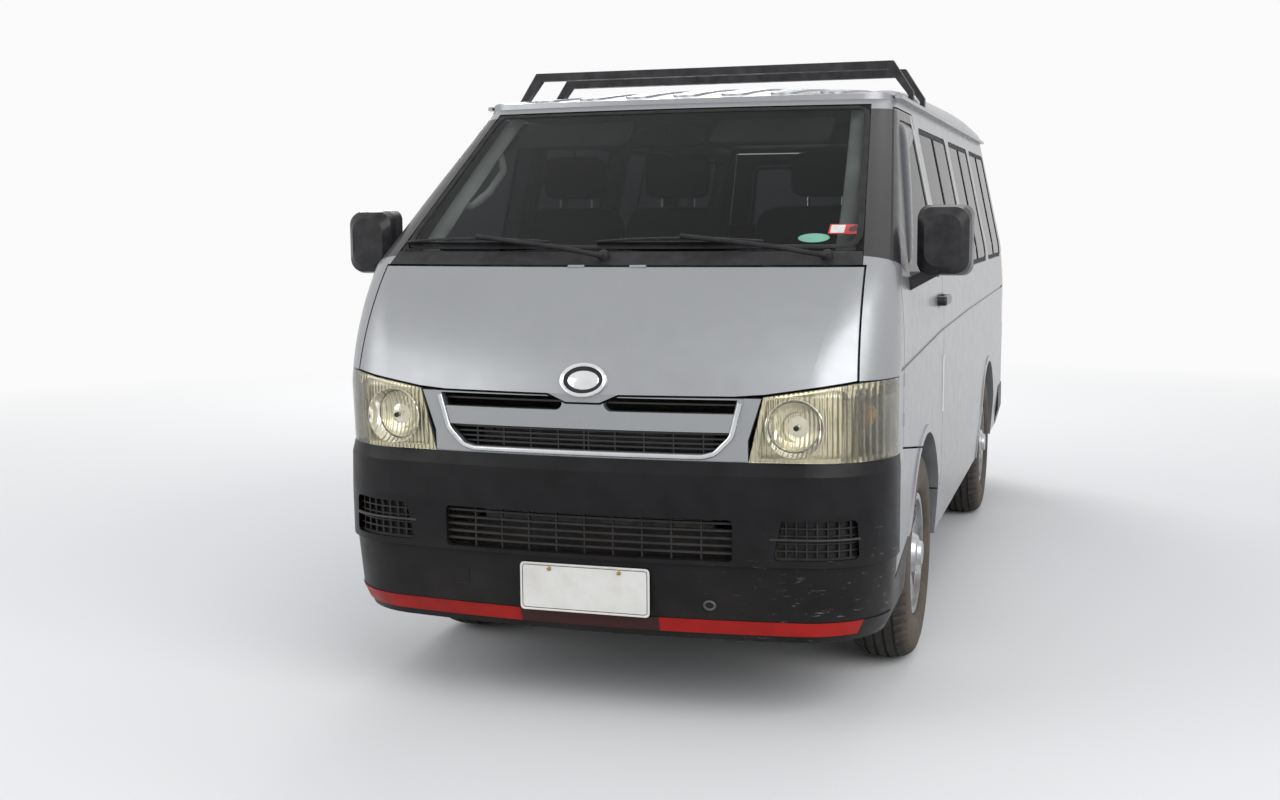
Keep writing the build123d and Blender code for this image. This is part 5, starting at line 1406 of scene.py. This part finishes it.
class VAN_OT_cabin_trim(bpy.types.Operator):
    """Pillar covers, grab handle, sun visors and inner mirror behind the windscreen"""

    bl_idname = "van.cabin_trim"
    bl_label = "Cabin trim"

    def behind(self, points, gap):
        """Points set a gap behind the windscreen."""
        return seat_on(["windscreen"], "front", points) + (0, gap, 0)

    def execute(self, context):
        path = self.behind([(-0.664, 1.362), (-0.650, 1.50), (-0.628, 1.65), (-0.606, 1.79)], 0.085)
        path = np.concatenate([path[:1] - (0, 0, 0.05), path])
        cover = swept(evenly(path, 0.03), ring_profile(0.030, 16, 0.4), (0, -0.6, 0.8))
        build("pillar_covers", both(cover), "root", material("light_cabin"))
        loop = [(-0.655, 1.505), (-0.625, 1.480), (-0.580, 1.540), (-0.570, 1.610), (-0.615, 1.665)]
        handle = tube(self.behind(loop, 0.13), 0.0125, 0.01, up=(0, 1, 0), bend=0.02)
        build("grab_handle", handle, "root", material("light_cabin"))
        board = lid(rectangle(0.40, 0.14, 0.03),
                    [(0.004, -0.010), (0, -0.005), (0, 0.005), (0.004, 0.010), (0.02, 0.011)])
        slope = self.behind([(0.34, 1.66), (0.34, 1.79)], 0.075)
        board = placed(board, slope.mean(axis=0), (1, 0, 0), slope[1] - slope[0])
        build("sun_visors", both(board), "root", material("cabin"))
        back = self.behind([(0.0, 1.715)], 0.10)[0]
        mirror = lid(oval(0.250, 0.070, 40, 4.0), [(0.006, -0.022), (0, -0.012), (0, 0.0), (0.004, 0.004)])
        mirror = placed(mirror, back, (-1, 0, 0), (0, 0, 1))
        stalk = tube([back + (0, -0.02, 0.01), back + (0, -0.03, 0.045)], 0.008, 0.01, up=(1, 0, 0))
        build("inner_mirror", merge(mirror, stalk), "root", material("trim"))
        return {"FINISHED"}


class VAN_OT_rear_wiper(bpy.types.Operator):
    """Wiper on the tailgate's glass"""

    bl_idname = "van.rear_wiper"
    bl_label = "Rear wiper"

    def execute(self, context):
        count = 20
        line = np.stack([np.linspace(0.02, 0.42, count), np.full(count, 1.300)], axis=1)
        rest, out = (look(["tailgate_glass"], "back", line) for look in (seat_on, facing))
        rubber = [(-0.003, 0.005), (-0.001, -0.003), (0.001, -0.003), (0.003, 0.005)]
        rubber = swept(rest + out * 0.003, rubber, out)
        blade = swept(rest + out * 0.012, ring_profile(0.005, 8, 0.6), out)
        pivot = seat_on(["tailgate"], "back", [(-0.03, 1.212)])[0]
        post = turned([(0.0, -0.004), (0.017, -0.004), (0.017, 0.012), (0.0, 0.018)], 24)
        post = placed(post, pivot, (1, 0, 0), (0, 0, -1))
        hold, away = rest[count // 2], out[count // 2]
        arm = [pivot + (0, 0.012, 0), (pivot + hold) / 2 + (0, 0.024, 0), hold + away * 0.018]
        arm = tube(arm, 0.006, 0.02, up=away, bend=0.05)
        wiper = merge(rubber, blade, post, arm)
        build("rear_wiper_arm", wiper, "tailgate", material("trim"))
        return {"FINISHED"}


class VAN_PT_panel(bpy.types.Panel):
    """Van's sizes, colours and pieces"""

    bl_idname = "VAN_PT_panel"
    bl_label = "Passenger van"
    bl_space_type = "VIEW_3D"
    bl_region_type = "UI"
    bl_category = "Van"

    def draw(self, context):
        for group in (context.scene.van_sizes, context.scene.van_colours):
            for key in group.__annotations__:
                self.layout.prop(group, key)
        for operator in OPERATORS:
            self.layout.operator(operator.bl_idname)


OPERATORS = (
    VAN_OT_stage, VAN_OT_paint_frame, VAN_OT_tyres, VAN_OT_seals, VAN_OT_plates, VAN_OT_badge, VAN_OT_lamps,
    VAN_OT_wipers, VAN_OT_seats, VAN_OT_mirrors, VAN_OT_stickers, VAN_OT_side_trim, VAN_OT_front_trim,
    VAN_OT_cabin_trim, VAN_OT_rear_wiper,
)
CLASSES = (VanSizes, VanColours, *OPERATORS, VAN_PT_panel)


def register():
    for each in CLASSES:
        bpy.utils.register_class(each)
    bpy.types.Scene.van_sizes = bpy.props.PointerProperty(type=VanSizes)
    bpy.types.Scene.van_colours = bpy.props.PointerProperty(type=VanColours)


def unregister():
    del bpy.types.Scene.van_colours
    del bpy.types.Scene.van_sizes
    for each in reversed(CLASSES):
        bpy.utils.unregister_class(each)


def main():
    register()
    bpy.ops.van.stage()
    bpy.ops.van.paint_frame()
    bpy.ops.van.tyres()
    bpy.ops.van.seals()
    bpy.ops.van.plates()
    bpy.ops.van.badge()
    bpy.ops.van.lamps()
    bpy.ops.van.wipers()
    bpy.ops.van.seats()
    bpy.ops.van.mirrors()
    bpy.ops.van.stickers()
    bpy.ops.van.side_trim()
    bpy.ops.van.front_trim()
    bpy.ops.van.cabin_trim()
    bpy.ops.van.rear_wiper()


if __name__ == "__main__":
    main()
